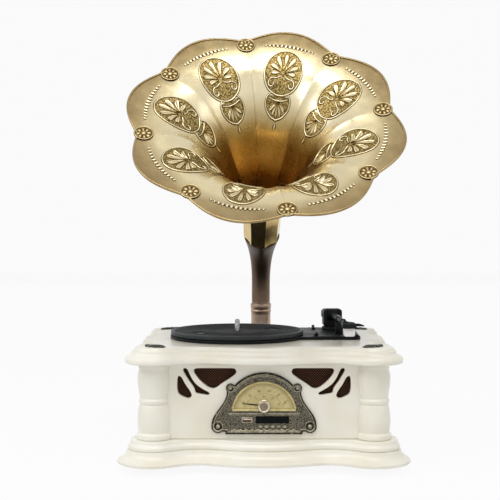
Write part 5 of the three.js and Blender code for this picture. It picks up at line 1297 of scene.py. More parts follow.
def screw(x, y, z):
    """A pan head screw with a cross recess, its head up."""
    profile = millimetres((2.2, 0), (2.2, 0.35), (1.892, 0.75), (1.1, 1.0), (0, 1.05))
    half, wide, radius = 1.364 * MM, 0.33 * MM, 2.2 * MM
    head = lathe("screw", profile, 28, (x, y, z))
    tools = [block("cross", (x - a, y - b, z + 0.65 * MM), (x + a, y + b, z + 2 * MM))
             for a, b in ((half, wide), (wide, half * 1.0001))]
    foot = lathe("screw foot", [(0, 0), (radius, 0)], 28, (x, y, z))
    closed = join("screw", [head, foot])
    weld(closed.data)
    return cut_away(closed, *tools)


def turned_ring(name, profile, steps, place, angle=35):
    """A turned ring: its profile closes on itself."""
    return lathe(name, [*profile, profile[0]], steps, place, smooth_angle=angle)


def platter_shape():
    """The outer platter: a rounded rim with a fine step, and a sunk bed for the mat."""
    profile = millimetres(
        (3.7, 163), (95.4, 163), (96.5, 163.4), (97, 164.4), (97, 165.6), (96.75, 165.75),
        (96.75, 166), (97, 166.15), (97, 168.1), (96.6, 169), (95.7, 169.4), (94.2, 169.4),
        (93.5, 169.1), (92.3, 167.2), (92, 166.6), (91.7, 166.4), (3.7, 166.4))
    return turned_ring("platter_finish", profile, 160, (*PLATTER, 0))


def mat_shape():
    """The rubber mat: raised rings, a record label's recess, and two curved windows."""
    low, top, edge, hole = 166.7 * MM, MAT_TOP, 90.6 * MM, 4.2 * MM
    first_ring, ring_step, groove = 88.6, 3.7, 0.3 * MM
    profile = [(hole, low), (edge, low), (edge, top - 0.4 * MM), (90.2 * MM, top - 0.1 * MM)]
    for i in range(15):
        outer = (first_ring - i * ring_step) * MM
        profile += [(outer + 0.3 * MM, top - groove), (outer, top), (outer - 1.5 * MM, top),
                    (outer - 1.8 * MM, top - groove)]
    profile += [(33.6 * MM, top - 0.5 * MM), (8.2 * MM, top - 0.5 * MM), (7.8 * MM, top - 0.2 * MM),
                (hole, top - 0.2 * MM)]
    mat = turned_ring("platter_mat_finish", profile, 160, (*PLATTER, 0), 30)
    weld(mat.data)
    tools = []
    half, outside, inside = 0.24, edge * 0.76, edge * 0.58
    for middle in (0.5, 0.5 + TAU / 2):
        line = (arc_line(*PLATTER, outside, middle - half, middle + half, 12)
                + arc_line(*PLATTER, inside, middle + half, middle - half, 12))
        rings = [[(x, y, z) for x, y in line] for z in (low - MM, top + MM)]
        tools.append(ring_loft("window", rings, caps=True))
    return soften(cut_away(mat, *tools), 30)


def pin_shape():
    """The centre pin with its rounded top."""
    low, high = (corner.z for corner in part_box("centre_pin"))
    profile = [(0, low), (3.6 * MM, low), (3.6 * MM, high - 2.2 * MM), (3.4 * MM, high - 1.2 * MM),
               (2.7 * MM, high - 0.4 * MM), (1.6 * MM, high), (0, high)]
    return lathe("centre_pin_finish", profile, 48, (*PLATTER, 0))


def deck_trim_shapes():
    """Small forms on the deck: a raised border line, lever scales and a wedge-shaped end rib."""
    (x0, y0), (x1, y1) = DECK_PLATE
    z = DECK_TOP
    left, right, low, high = x0 + 39 * MM, x1 - 3 * MM, y0 + 3 * MM, y1 - 3 * MM
    cut = 5 * MM
    rail = [(left, low, z), (right - cut, low, z), (right, low + cut, z),
            (right, high - cut, z), (right - cut, high, z), (left, high, z)]
    parts = [tube("border", rail, 0.6 * MM, 8)]
    mark_start, mark_end = 17.2 * MM, 19.6 * MM
    speed_angles, power_angles = (-0.31, 0, 0.31), (0, 0.43)
    for y, angles in zip(LEVER_Y, (speed_angles, power_angles)):
        for angle in angles:
            line = [(LEVER_X + r * math.cos(angle), y + r * math.sin(angle), z + 0.05 * MM)
                    for r in (mark_start, mark_end)]
            parts.append(tube("scale mark", line, 0.35 * MM, 6))
    wedge = millimetres((-10.5, 0), (-0.6, 0), (-1.6, 1.2), (-9.4, 5.8), (-10.5, 5.8))
    rings = [[(x1 + x, y, z + up) for x, up in wedge] for y in (y0 + 1.5 * MM, y0 + 13 * MM)]
    rib = bake(bevel(ring_loft("end rib", rings, caps=True), 0.5 * MM, 3))
    return [*parts, soften(rib, 40)]


def arm_detail_shapes():
    """Small forms on the arm: ribs of the headshell, a second finger prong and wire clips."""
    z = ARM_Z
    back = -(ARM_LENGTH - 23.8 * MM)
    top = z + 3 * MM
    parts = []
    first_rib, rib_step, rib_half, edge_x = 11, 5.2, 7.4 * MM, 8.3 * MM
    for i in range(4):
        y = back - (first_rib + rib_step * i) * MM
        parts.append(tube("rib", [(-rib_half, y, top), (rib_half, y, top)], 0.55 * MM, 8))
    for x in (-edge_x, edge_x):
        line = [(x, back - 9 * MM, top), (x, back - 31 * MM, top)]
        parts.append(tube("edge rib", line, 0.6 * MM, 8))
    prong = smooth_line([(x, back + y, z + up) for x, y, up in millimetres(
        (8, -26, 1.5), (13, -27, 1.8), (18, -27.5, 0.6), (20.5, -27.5, -0.6))], 5)
    parts.append(tube("finger prong", prong, list(np.linspace(1.5, 0.8, len(prong)) * MM), 10))
    for middle in (-34 * MM, -74 * MM, -118 * MM):
        clip = millimetres((4.0, -1.2), (4.7, -0.8), (4.7, 0.8), (4.0, 1.2))
        rings = [[(x, middle + along, z + up) for x, up in circle(radius, 32)]
                 for radius, along in clip]
        parts.append(ring_loft("clip", rings, smooth_angle=40))
    return parts


def housing_shapes():
    """The pivot housing's caps, its raised cap line, and the dark bridge between its cheeks."""
    parts = [block("bridge", (-9.2 * MM, -9 * MM, ARM_Z - 13 * MM),
                   (9.2 * MM, 9 * MM, ARM_Z - 7.9 * MM), 0.3 * MM)]
    cheek = 14 * MM
    for side in (-1, 1):
        for radius, out in ((4.2 * MM, 0.5 * MM), (2.6 * MM, 0.9 * MM)):
            rings = [[(side * (cheek + reach), y, ARM_Z + up)
                      for y, up in circle(radius * share, 24)]
                     for share, reach in ((1, -0.3 * MM), (1, out * 0.7), (0.9, out), (0.02, out))]
            parts.append(ring_loft("pivot cap", rings, smooth_angle=40))
    rail = [(-13.2 * MM, -11.1 * MM, ARM_Z + 7.6 * MM), (-11.6 * MM, -11.1 * MM, ARM_Z + 9.0 * MM)]
    return [*parts, tube("cap line", rail, 0.35 * MM, 6)]


class RECORDPLAYER_OT_turntable(bpy.types.Operator):
    """Adds the deck with its levers, the platter with its mat and pin, and the belt drive"""

    bl_idname = "record_player.turntable"
    bl_label = "Turntable"

    def execute(self, context):
        plastic = (charcoal_plastic, "black_plastic")
        finish_copy("deck_plate", *plastic, edge=0.5 * MM)
        finish_piece(soften(join("deck_trim", deck_trim_shapes()), 40), *plastic)
        (x0, y0), (x1, y1) = DECK_PLATE
        places = ((x1 - 8 * MM, y0 + 20 * MM), (x1 - 8 * MM, y1 - 10 * MM),
                  (x0 + 44 * MM, y1 - 8 * MM))
        screws = [screw(x, y, DECK_TOP - 0.1 * MM) for x, y in places]
        finish_piece(soften(join("deck_screws", screws), 40), turned_steel, "steel")
        finish_piece(platter_shape(), platter_plastic, "black_plastic", "turntable", "platter")
        finish_piece(mat_shape(), nitrile_rubber, "black_rubber", "turntable", "platter_mat")
        finish_piece(pin_shape(), turned_steel, "steel", "turntable", "centre_pin")
        finish_copy("sub_platter", *plastic, "turntable", 0.3 * MM)
        finish_copy("drive_belt", nitrile_rubber, "black_rubber")
        finish_copy("motor_pulley", polished_brass, "antique_brass", "pulley", 0.15 * MM)
        finish_copy("motor", turned_steel, "steel", edge=0.8 * MM)
        finish_copy("speed_lever", *plastic, "speed_switch", 0.4 * MM)
        finish_copy("power_lever", *plastic, "power_switch", 0.4 * MM)
        return {"FINISHED"}


class RECORDPLAYER_OT_tonearm(bpy.types.Operator):
    """Adds the tonearm with its base, housing, counterweight, cartridge, guard, rest and lifter"""

    bl_idname = "record_player.tonearm"
    bl_label = "Tonearm"

    def execute(self, context):
        plastic = (charcoal_plastic, "black_plastic")
        profile = millimetres(
            (3.3, 162.6), (15.6, 162.6), (16, 163), (16, 165.6), (15.6, 166.3), (14.6, 167.3),
            (13.9, 167.6), (11.5, 167.6), (11.2, 167.3), (10.8, 167.3), (10.5, 167.6), (3.3, 167.6))
        base = turned_ring("arm_base_finish", profile, 80, (*ARM_PIVOT, 0))
        finish_piece(base, *plastic, "cabinet", "arm_base")
        finish_copy("arm_yoke", *plastic, "arm_swivel", 0.7 * MM, segments=3)
        finish_piece(at_arm(join("arm_yoke_caps", housing_shapes())), *plastic, "arm_swivel")
        finish_copy("tonearm", *plastic, "arm", 0.35 * MM)
        finish_piece(at_arm(join("tonearm_details", arm_detail_shapes())), *plastic, "arm")
        wire = smooth_line([(x, y, ARM_Z + up) for x, y, up in millimetres(
            (3.2, -28, 2.6), (3.3, -44, 2.5), (3.3, -72, 2.4))], 4)
        spring = at_arm(tube("tonearm_spring", wire, 1.3 * MM, 12))
        finish_piece(spring, turned_steel, "steel", "arm")
        finish_copy("counterweight", *plastic, "arm", 0.6 * MM, segments=3)
        finish_copy("cartridge", glossy_charcoal, "black_plastic", "arm", 0.5 * MM)
        finish_copy("stylus_guard", clear_white_plastic, "white_plastic", "guard", 0.3 * MM)
        finish_copy("arm_rest", *plastic, edge=0.3 * MM)
        finish_copy("cue_bracket", *plastic, edge=0.3 * MM)
        finish_copy("cue_lever", *plastic, "arm_lifter", 0.3 * MM)
        return {"FINISHED"}
# Horn: its wall, rim, pressed ornament, medallions, neck and elbow

# The bell's flare: share along its axis and share outwards
FLARE = ((0, 0), (0.17, 0.05), (0.35, 0.125), (0.54, 0.21), (0.695, 0.32), (0.81, 0.438),
         (0.887, 0.56), (0.94, 0.69), (0.976, 0.845), (1, 1))
SEAM = TAU / PETALS
RIM_SETBACK = 0.9 * MM


def turned(a, b, angle):
    """Two shares of a place, turned by an angle."""
    cosine, sine = math.cos(angle), math.sin(angle)
    return a * cosine - b * sine, a * sine + b * cosine


def horn_place(points):
    """Points drawn about the horn's own axis, moved to where the horn stands."""
    points = np.asarray(points, float)
    x, y, z = points[..., 0], points[..., 1], points[..., 2]
    x, y = turned(x, y, PETAL_TURN - TAU / 4)
    y, z = turned(y, z, HORN_TILT)
    y = y - (ELBOW_BEND * (1 - math.cos(HORN_TILT)) + ELBOW_STRAIGHT * math.sin(HORN_TILT))
    x, y = turned(x, y, HORN_YAW)
    return np.stack([x + HORN_BASE[0], y + HORN_BASE[1], z + JOINT_Z], axis=-1)


def flare_table():
    """The flare as a fine line: share outwards, radius, height and the normal into the flare."""
    along, out = np.clip(np.array(smooth_line(FLARE, 10)).T, 0, 1)
    radius = THROAT_RADIUS + (PETAL_RADIUS - RIM_SETBACK - THROAT_RADIUS) * out
    height = NECK_LENGTH + BELL_LENGTH * along
    run = np.stack([np.gradient(radius), np.gradient(height)], axis=-1)
    run /= np.linalg.norm(run, axis=-1, keepdims=True)
    return out, radius, height, -run[:, 1], run[:, 0]


def bell_points(radius, height, share, turn):
    """The horn's wall: flat facets at the throat, round lobes at the rim, a crease at each seam."""
    flats_end, notch_start, lobe_power = 1 / 1.6, 0.18, 1.26
    broad_crease, fine_crease = 0.02, 0.012
    across = (turn / SEAM) % 1
    facet = 1 / np.cos((across - 0.5) * SEAM) - 1
    seam = 1 - np.sin(math.pi * across) ** lobe_power
    flat = np.maximum(0, 1 - share / flats_end)
    notch = np.maximum(0, (share - notch_start) / (1 - notch_start)) ** 1.5
    depth = (NOTCH_DEPTH - RIM_SETBACK) * notch
    crease = radius * np.sin(math.pi * share) * (
        broad_crease * seam ** 3 + fine_crease * seam ** 14)
    out = radius * (1 + facet * flat) - depth * seam - crease
    drop = NOTCH_SET_BACK * seam * share ** 4
    return np.stack([out * np.cos(turn), out * np.sin(turn), height - drop], axis=-1)


def bell_shape():
    """The sheet of the bell, inside and outside, round its rolled rim."""
    share, radius, height, normal_r, normal_h = flare_table()
    count = PETALS * horn_sizes().around
    turn = np.arange(count) * TAU / count
    rings = []

    def add(r, h, s):
        rings.append([tuple(p) for p in horn_place(bell_points(r, h, s, turn))])

    for i in range(len(share)):
        add(radius[i], height[i], share[i])
    bead, bead_out, bead_back = horn_sizes().bead, 0.35, 0.1
    for k in range(9):
        angle = 2.2 - k * 0.52
        add(radius[-1] + bead * (bead_out + math.cos(angle)),
            height[-1] - bead * bead_back + bead * math.sin(angle), 1.0)
    for i in reversed(range(len(share) - 1)):
        add(radius[i] - normal_r[i] * HORN_WALL, height[i] - normal_h[i] * HORN_WALL, share[i])
    return with_rim_share(ring_loft("horn_bell_finish", rings, cycle=True, smooth_angle=50))


def with_rim_share(shape):
    """Stores how far out each point lies, from 0 at the throat to 1 at the rim, for the brass's
    painted shade and highlight.
    """
    mesh = shape.data
    share, radius = flare_table()[:2]
    start = horn_place(np.zeros(3))
    axis = horn_place(np.array([0, 0, 1.0])) - start
    points = np.empty(len(mesh.vertices) * 3)
    mesh.vertices.foreach_get("co", points)
    points = points.reshape(-1, 3) - start
    distance = np.linalg.norm(points - np.outer(points @ axis, axis), axis=1)
    values = np.interp(distance, radius, share)
    layer = mesh.attributes.new("rim_share", "FLOAT", "POINT")
    layer.data.foreach_set("value", values.astype(np.float32))
    return shape


class PetalSurface:
    """The front of one petal. Its drawing plane has a sideways length and a radius."""

    def __init__(self, petal):
        self.middle = (petal + 0.5) * SEAM
        self.table = flare_table()

    def at(self, sideways, radius, lift):
        """Points of the frame from lengths sideways, radii and heights over the sheet."""
        sideways, radius, lift = (np.asarray(v, float) for v in (sideways, radius, lift))
        share, _, height, normal_r, normal_h = (
            np.interp(radius, self.table[1], column) for column in self.table)
        turn = self.middle + sideways / radius
        return horn_place(
            bell_points(radius + normal_r * lift, height + normal_h * lift, share, turn))


# Sections of raised forms: places across, in half widths, and shares of the height
WIRE_SECTION = ((-1.25, -0.2), (-1.2, 0.08), (-0.8, 0.12), (-0.45, 0.85), (0, 1), (0.45, 0.85),
                (0.8, 0.12), (1.2, 0.08), (1.25, -0.2))
LOBE_SECTION = ((-1.15, -0.2), (-1.1, 0.08), (-0.85, 0.3), (-0.55, 1), (0, 0.5), (0.55, 1),
                (0.85, 0.3), (1.1, 0.08), (1.15, -0.2))


def ridge(surface, line, width, height, section):
    """A raised form along a line of the petal, and how near each point is to its crest."""
    line = np.array(line, float)
    run = np.gradient(line, axis=0)
    run /= np.maximum(np.linalg.norm(run, axis=1, keepdims=True), 1e-12)
    side = np.stack([-run[:, 1], run[:, 0]], axis=1)
    width = np.broadcast_to(np.asarray(width, float), len(line))
    rings = []
    for across, up in section:
        place = line + side * (width * across / 2)[:, None]
        rings.append(surface.at(place[:, 0], place[:, 1], np.full(len(line), height * up)))
    crest = np.clip([up for _, up in section], 0, 1)
    return np.stack(rings, axis=1), np.broadcast_to(crest, (len(line), len(section)))


def strip_faces(grid, start):
    """Quads of one open grid, counted from a first point number."""
    rows, columns = grid.shape[:2]
    firsts = [start + i * columns + j for i in range(rows - 1) for j in range(columns - 1)]
    return [(first, first + 1, first + columns + 1, first + columns) for first in firsts]


def tapered(count):
    """Widths that swell from a narrow foot to a round tip."""
    t = np.linspace(0, 1, count)
    return np.clip(np.sin(math.pi * t ** 1.45) ** 0.7, 0.02, 1) * (1 - 0.35 * (1 - t))


# The oval frame's right half: millimetres sideways from the petal's middle and out from the axis
OVAL = ((10, 96.5), (17.5, 101), (23.5, 109), (27, 119), (28, 129), (26, 139), (20.5, 148),
        (11.5, 154.5), (0, 157))
SHELL = ((13, 97), (17.5, 91), (16.5, 82), (9, 74.5), (0, 71.5))


def petal_ornament(surface, high):
    """A palmette between volutes in an oval frame, a row of beads above it and a shell below."""
    grids = []

    def draw(line, width, height=1.0, section=WIRE_SECTION, steps=5):
        line = np.array(smooth_line(line, steps)) * MM
        width = width(len(line)) * MM if callable(width) else width * MM
        grids.append(ridge(surface, line, width, high * height, section))

    palm_foot, shell_foot, beads_at, half_row = 119, 89, 165.5, 36
    volute_side, volute_out, volute_radius, volute_gain = 13.5, 108, 7.6, 1.05
    for i in range(-3, 4):
        angle, bend = 0.38 * i, 0.08 * i
        length = 33 - 1.6 * i * i
        line = [(math.sin(angle + bend * s) * length * s,
                 palm_foot + math.cos(angle + bend * s) * length * s)
                for s in (0.14, 0.4, 0.65, 0.86, 1)]
        draw(line, lambda n: 8.4 * tapered(n), 1.1, LOBE_SECTION)
    for side in (-1, 1):
        spiral = [(side * (volute_side + (volute_radius - volute_gain * t) * math.cos(2.1 - t)),
                   volute_out + (volute_radius - volute_gain * t) * math.sin(2.1 - t))
                  for t in np.linspace(0, 5.6, 13)]
        draw([(side * 3, 117), *spiral], 2.4, steps=3)
        draw([(side * a, r) for a, r in OVAL], 2.7, steps=4)
        draw([(side * a, r) for a, r in SHELL], 2.3)
    draw([(-10, 96.5), (-5, 94.8), (0, 94.3), (5, 94.8), (10, 96.5)], 2.5)
    draw([(-14, 92), (-7, 89.6), (0, 89), (7, 89.6), (14, 92)], 1.9)
    for turn in (-0.86, -0.43, 0, 0.43, 0.86):
        line = [(math.sin(turn) * 15 * s, shell_foot - math.cos(turn) * 15 * s)
                for s in (0.1, 0.4, 0.75, 1)]
        draw(line, lambda n: 5.0 * tapered(n), 0.9, LOBE_SECTION, steps=4)
    draw([(0, 71), (0, 67), (0, 63.5)], lambda n: 4.6 * tapered(n), 0.9)
    for a in np.linspace(-half_row, half_row, 13):
        out = (a / half_row) ** 2
        middle, size = beads_at + 4 * out, 6 - 2 * out
        draw([(a, middle + size * d) for d in (-0.5, -0.25, 0, 0.25, 0.5)],
             lambda n: size * np.sqrt(np.clip(1 - np.linspace(-1, 1, n) ** 2, 0.02, 1)), 0.95,
             steps=2)
    return grids


def ornament_ground(surface):
    """The sunk grounds that lie within the frame and the shell."""
    shell = ((3, 72), (8, 75), (15.5, 82), (17, 90), (14, 97))
    across = np.linspace(-1, 1, 17)
    grids = []
    for radii, line in ((np.linspace(96, 157, 26), OVAL), (np.linspace(73, 94, 10), shell)):
        half, radius = zip(*line)
        a = across * np.interp(radii, radius, half)[:, None]
        r = np.broadcast_to(radii[:, None], a.shape)
        grids.append(surface.at(a * MM, r * MM, np.full(a.shape, 0.12 * MM)))
    return grids


def sheet_of(name, grids, crests=(), smooth_angle=60):
    """One object made of open grids of points, with how near each point is to a crest."""
    points, faces, values = [], [], []
    for i, grid in enumerate(grids):
        faces += strip_faces(grid, len(points))
        points += [tuple(p) for p in grid.reshape(-1, 3)]
        if crests:
            values += list(crests[i].reshape(-1))
    mesh = bpy.data.meshes.new(name)
    mesh.from_pydata(points, [], faces)
    if crests:
        layer = mesh.attributes.new("crest", "FLOAT", "POINT")
        layer.data.foreach_set("value", np.array(values, np.float32))
    with edited(mesh) as work:
        bmesh.ops.recalc_face_normals(work, faces=work.faces)
    return soften(placed(name, mesh), smooth_angle)


def relief_shape():
    """The ornament pressed into all eight petals."""
    drawn = [pair for petal in range(PETALS)
             for pair in petal_ornament(PetalSurface(petal), horn_sizes().relief)]
    return sheet_of("horn_relief", [grid for grid, _ in drawn], [crest for _, crest in drawn])


def ground_shape():
    """The stippled grounds on all eight petals."""
    grids = [grid for petal in range(PETALS) for grid in ornament_ground(PetalSurface(petal))]
    return sheet_of("horn_ornament_ground", grids)


MEDALLION_PLACE = 182.5 * MM
# Rings of a medallion from its edge inwards: share of the radius, height in millimetres, brightness
MEDALLION_ROWS = (
    (1.0, -0.8, 0.1), (1.0, 0.5, 0.2), (0.97, 1.1, 0.7), (0.92, 1.3, 0.9), (0.87, 1.1, 0.7),
    (0.83, 0.5, 0.25), (0.78, 0.45, 0.4), (0.64, 0.7, 0.5), (0.5, 0.9, 0.55), (0.36, 0.7, 0.4),
    (0.28, 0.45, 0.25), (0.24, 0.9, 0.55), (0.14, 1.5, 0.8), (0.0, 1.7, 0.85))


def medallion_grids(surface, radius):
    """A round medallion over a seam: a raised ring, eight soft leaves and a bead."""
    leaves, leaf_foot, leaf_tip, leaf_height = 8, 0.28, 0.78, 0.45
    angle = np.linspace(0, TAU, 65)
    rows, crests = [], []
    for share, up, crest in MEDALLION_ROWS:
        along = (share - leaf_foot) / (leaf_tip - leaf_foot)
        swell = math.sin(math.pi * along) if 0 < along < 1 else 0
        wave = swell * np.cos(leaves * angle)
        rows.append(surface.at_flat(radius * share * np.cos(angle), radius * share * np.sin(angle),
                                    (up + leaf_height * wave) * MM))
        crests.append(np.clip(0.72 * crest + 0.25 * wave, 0, 1))
    return np.stack(rows, axis=0), np.stack(crests, axis=0)


class SeamSurface(PetalSurface):
    """A flat disc's plane set on the seam, so that a medallion stays round."""

    def __init__(self, petal):
        super().__init__(petal)
        turn = petal * SEAM
        lift = np.array([0.9 * MM])
        near, far = (np.array([place]) for place in (MEDALLION_PLACE - 10 * MM, MEDALLION_PLACE))
        self.centre = self.at(-SEAM / 2 * far, far, lift)[0]
        inner = self.at(-SEAM / 2 * near, near, lift)[0]
        self.up = (self.centre - inner) / np.linalg.norm(self.centre - inner)
        side = horn_place([[-math.sin(turn), math.cos(turn), 0], [0, 0, 0], [0, 0, 1.0]])
        self.side = side[0] - side[1]
        self.front = np.cross(self.side, self.up)
        if self.front @ (side[2] - side[1]) < 0:
            self.front = -self.front

    def at_flat(self, sideways, up, lift):
        """Points of the frame from lengths on the disc and heights over it."""
        return (self.centre + np.outer(sideways, self.side) + np.outer(up, self.up)
                + np.outer(np.broadcast_to(lift, len(sideways)), self.front))


def medallions_shape():
    """Eight cast medallions, one over each notch of the rim, closed behind."""
    grids, crests = [], []
    for petal in range(PETALS):
        grid, crest = medallion_grids(SeamSurface(petal), horn_sizes().medallion)
        middle = np.broadcast_to(grid[0][:-1].mean(axis=0), grid[0].shape)
        grids.append(np.concatenate([middle[None], grid]))
        crests.append(np.concatenate([crest[:1], crest]))
    return sheet_of("horn_medallions", grids, crests, 45)


def seam_shape():
    """The folded laps of sheet along the seams, inside and outside."""
    points, faces = [], []
    start, end, half = 34 * MM, 166 * MM, 0.8 * MM
    section = ((-1, -0.1), (-0.5, 0.32), (0.5, 0.32), (1, -0.1))
    radius = np.linspace(start, end, 60)
    for petal in range(PETALS):
        surface = PetalSurface(petal)
        for lift, sign in ((0.0, 1), (-HORN_WALL, -1)):
            grid = np.stack([
                surface.at(-SEAM / 2 * radius + across * half, radius,
                           np.full(len(radius), lift + sign * up * MM))
                for across, up in section], axis=1)
            faces += strip_faces(grid, len(points))
            points += [tuple(p) for p in grid.reshape(-1, 3)]
    return with_rim_share(new_mesh("horn_seams", points, faces, 40))


def neck_shape():
    """The octagonal neck: eight polished flats that meet at fine edges."""
    gain = THROAT_RADIUS - NECK_END_RADIUS
    wall = smooth_pairs([(0, 0), (0.55, 0.22), (0.8, 0.55), (1, 1)], 5)
    edge = 0.07
    corner, beside = 0.9985 / math.cos(SEAM / 2), 1 / math.cos(SEAM / 2 - edge / 2)
    turns = [(k * SEAM + step, share) for k in range(PETALS)
             for step, share in ((-edge / 2, beside), (0, corner), (edge / 2, beside))]
    low, long = 0.3 * MM, NECK_LENGTH - 0.6 * MM

    def ring(along, out, inset):
        radius = NECK_END_RADIUS + gain * out - inset
        return [tuple(p) for p in horn_place([
            (radius * share * math.cos(turn), radius * share * math.sin(turn), low + long * along)
            for turn, share in turns])]

    outer = [ring(along, out, 0) for along, out in wall]
    inner = [ring(along, out, HORN_WALL) for along, out in reversed(wall)]
    return ring_loft("horn_neck_finish", outer + inner, cycle=True, smooth_angle=14)


# The collar's rings: share of its height and millimetres out from its plain radius
COLLAR_RINGS = (
    (-0.374, 0), (0.098, 0), (0.106, 0.1), (0.118, 0.6), (0.135, 0.8), (0.165, 0.8), (0.182, 0.6),
    (0.194, 0.1), (0.202, 0), (0.3, -0.15), (0.55, -0.15), (0.672, 0), (0.685, 0.4), (0.7, 0.8),
    (0.725, 0.8), (0.742, 0.4), (0.755, 0), (0.79, 0), (0.805, 0.4), (0.825, 0.8), (0.96, 0.8),
    (0.98, 0.5), (0.99, -0.3))


def elbow_stations():
    """Middles of the elbow's rings: y, height, lean and radius."""
    bend_start = JOINT_Z - LID_TOP - (
        ELBOW_BEND * math.sin(HORN_TILT) + ELBOW_STRAIGHT * math.cos(HORN_TILT))
    stations = [(0, COLLAR_HEIGHT * share, 0, COLLAR_RADIUS + out * MM)
                for share, out in COLLAR_RINGS]
    stations.append((0, COLLAR_HEIGHT, 0, ELBOW_RADIUS))
    steps, widens_at, opened = 28, 0.25, 0.7
    for i in range(1, steps + 1):
        share = i / steps
        angle = HORN_TILT * share
        opening = opened * max(0, (share - widens_at) / (1 - widens_at)) ** 2
        stations.append((-ELBOW_BEND * (1 - math.cos(angle)),
                         bend_start + ELBOW_BEND * math.sin(angle), angle,
                         ELBOW_RADIUS + (ELBOW_MOUTH_RADIUS - ELBOW_RADIUS) * opening))
    y, z, angle, radius = stations[-1]
    for share, inset in ((0.25, 0), (0.5, 0), (0.75, 0), (0.94, 0), (1.0, 0.25 * MM)):
        run = ELBOW_STRAIGHT * share
        stations.append((y - run * math.sin(angle), z + run * math.cos(angle), angle,
                         radius + (ELBOW_MOUTH_RADIUS - radius) * share - inset))
    return stations


def elbow_shape():
    """The elbow tube: socket, ringed collar, bend, and the cup that takes the neck."""

    def ring_at(station, wall):
        y, z, angle, radius = station
        points = []
        for side, across in circle(radius - wall, 72):
            px, py = turned(side, y + across * math.cos(angle), HORN_YAW)
            points.append((HORN_BASE[0] + px, HORN_BASE[1] + py,
                           LID_TOP + z + across * math.sin(angle)))
        return points

    stations = elbow_stations()
    outer = [ring_at(station, 0) for station in stations]
    hollow = [(y, z, angle, ELBOW_RADIUS if z < COLLAR_HEIGHT and angle == 0 else radius)
              for y, z, angle, radius in stations if z < 0 or z > COLLAR_HEIGHT or angle > 0]
    inner = [ring_at(station, 2 * MM) for station in reversed(hollow)]
    return ring_loft("horn_elbow_finish", outer + inner, cycle=True, smooth_angle=35)


class RECORDPLAYER_OT_horn(bpy.types.Operator):
    """Adds the flower horn with its pressed ornament and medallions, the neck and the elbow tube"""

    bl_idname = "record_player.horn"
    bl_label = "Horn"

    def execute(self, context):
        brass = "antique_brass"
        finish_piece(bell_shape(), antique_brass, brass, "cabinet", "horn_bell")
        finish_piece(seam_shape(), antique_brass, brass)
        finish_piece(relief_shape(), relief_brass, brass)
        finish_piece(ground_shape(), stippled_brass, brass)
        finish_piece(medallions_shape(), relief_brass, brass)
        finish_piece(neck_shape(), polished_brass, "polished_brass", "cabinet", "horn_neck")
        finish_piece(elbow_shape(), bronze_patina, "bronze", "cabinet", "horn_elbow")
        return {"FINISHED"}
# Rear sockets


class RECORDPLAYER_OT_rear(bpy.types.Operator):
    """Adds the direct current inlet and the two line-out sockets in the back panel"""

    bl_idname = "record_player.rear"
    bl_label = "Rear Sockets"

    def execute(self, context):
        finish_copy("dc_inlet", charcoal_plastic, "black_plastic", edge=0.25 * MM)
        for node in ("line_out_left", "line_out_right"):
            finish_copy(node, turned_steel, "steel", edge=0.25 * MM)
        return {"FINISHED"}
# Stage: floor, backdrop, lamps and camera


def seen_rays(tree):
    """Rays of the camera, and those that metal or glass sends on."""
    rays = add_node(tree, "ShaderNodeLightPath").outputs
    direct = measured(tree, "MAXIMUM", rays["Is Camera Ray"], rays["Is Transmission Ray"])
    return measured(tree, "MAXIMUM", direct, rays["Is Glossy Ray"])


def mix_white(tree, kind, share, shader, output):
    """Mixes plain white light into a shader by a share."""
    white = add_node(tree, kind, {"Color": grey(1.0), "Strength": 1.0})
    both = add_node(tree, "ShaderNodeMixShader", {0: share, 1: shader, 2: white.outputs[0]})
    tree.links.new(both.outputs[0], tree.nodes[output].inputs["Surface"])


def stage_paper():
    """Matt white paper: near white wherever the camera sees it, with the object's shadow."""
    material, tree = new_finish("matt_white_paper", Roughness=0.9)
    paint(tree, ramp(tree, noise(tree, 400, 2), (0.3, 0.8), (0.7, 0.82)))
    whiteness = 0.92
    share = measured(tree, "MULTIPLY", seen_rays(tree), whiteness)
    mix_white(tree, "ShaderNodeEmission", share, shader_of(tree).outputs[0], "Material Output")
    return material


def floor_shape():
    """A wide floor that sweeps up into the backdrop behind the object, in metres."""
    profile = [(-6, 0), (3, 0), (4, 0.12), (4.7, 0.6), (5, 1.5), (5, 4.5)]
    line = smooth_pairs(profile, 8)
    half = 7
    points = [(x, y, z) for y, z in line for x in (-half, half)]
    faces = [(2 * i, 2 * i + 1, 2 * i + 3, 2 * i + 2) for i in range(len(line) - 1)]
    floor = new_mesh("floor", points, faces, 60)
    floor.data.flip_normals()
    return floor


def lamp(name, size, strength, place, height):
    """A soft white lamp that faces the object at a height."""
    light = bpy.data.lights.new(name, "AREA")
    light.shape = "RECTANGLE"
    light.size, light.size_y = size
    light.energy = strength
    shape = placed(name, light)
    shape.location = place
    towards = Vector((0, 0, height)) - Vector(place)
    shape.rotation_euler = towards.to_track_quat("-Z", "Y").to_euler()


def world_light(strength):
    """Even room light. The camera, mirrors and glass see plain white."""
    world = bpy.data.worlds.new("studio")
    world.use_nodes = True
    tree = world.node_tree
    room = tree.nodes["Background"]
    room.inputs["Color"].default_value = grey(1.0)
    room.inputs["Strength"].default_value = strength
    mix_white(tree, "ShaderNodeBackground", seen_rays(tree), room.outputs[0], "World Output")
    bpy.context.scene.world = world


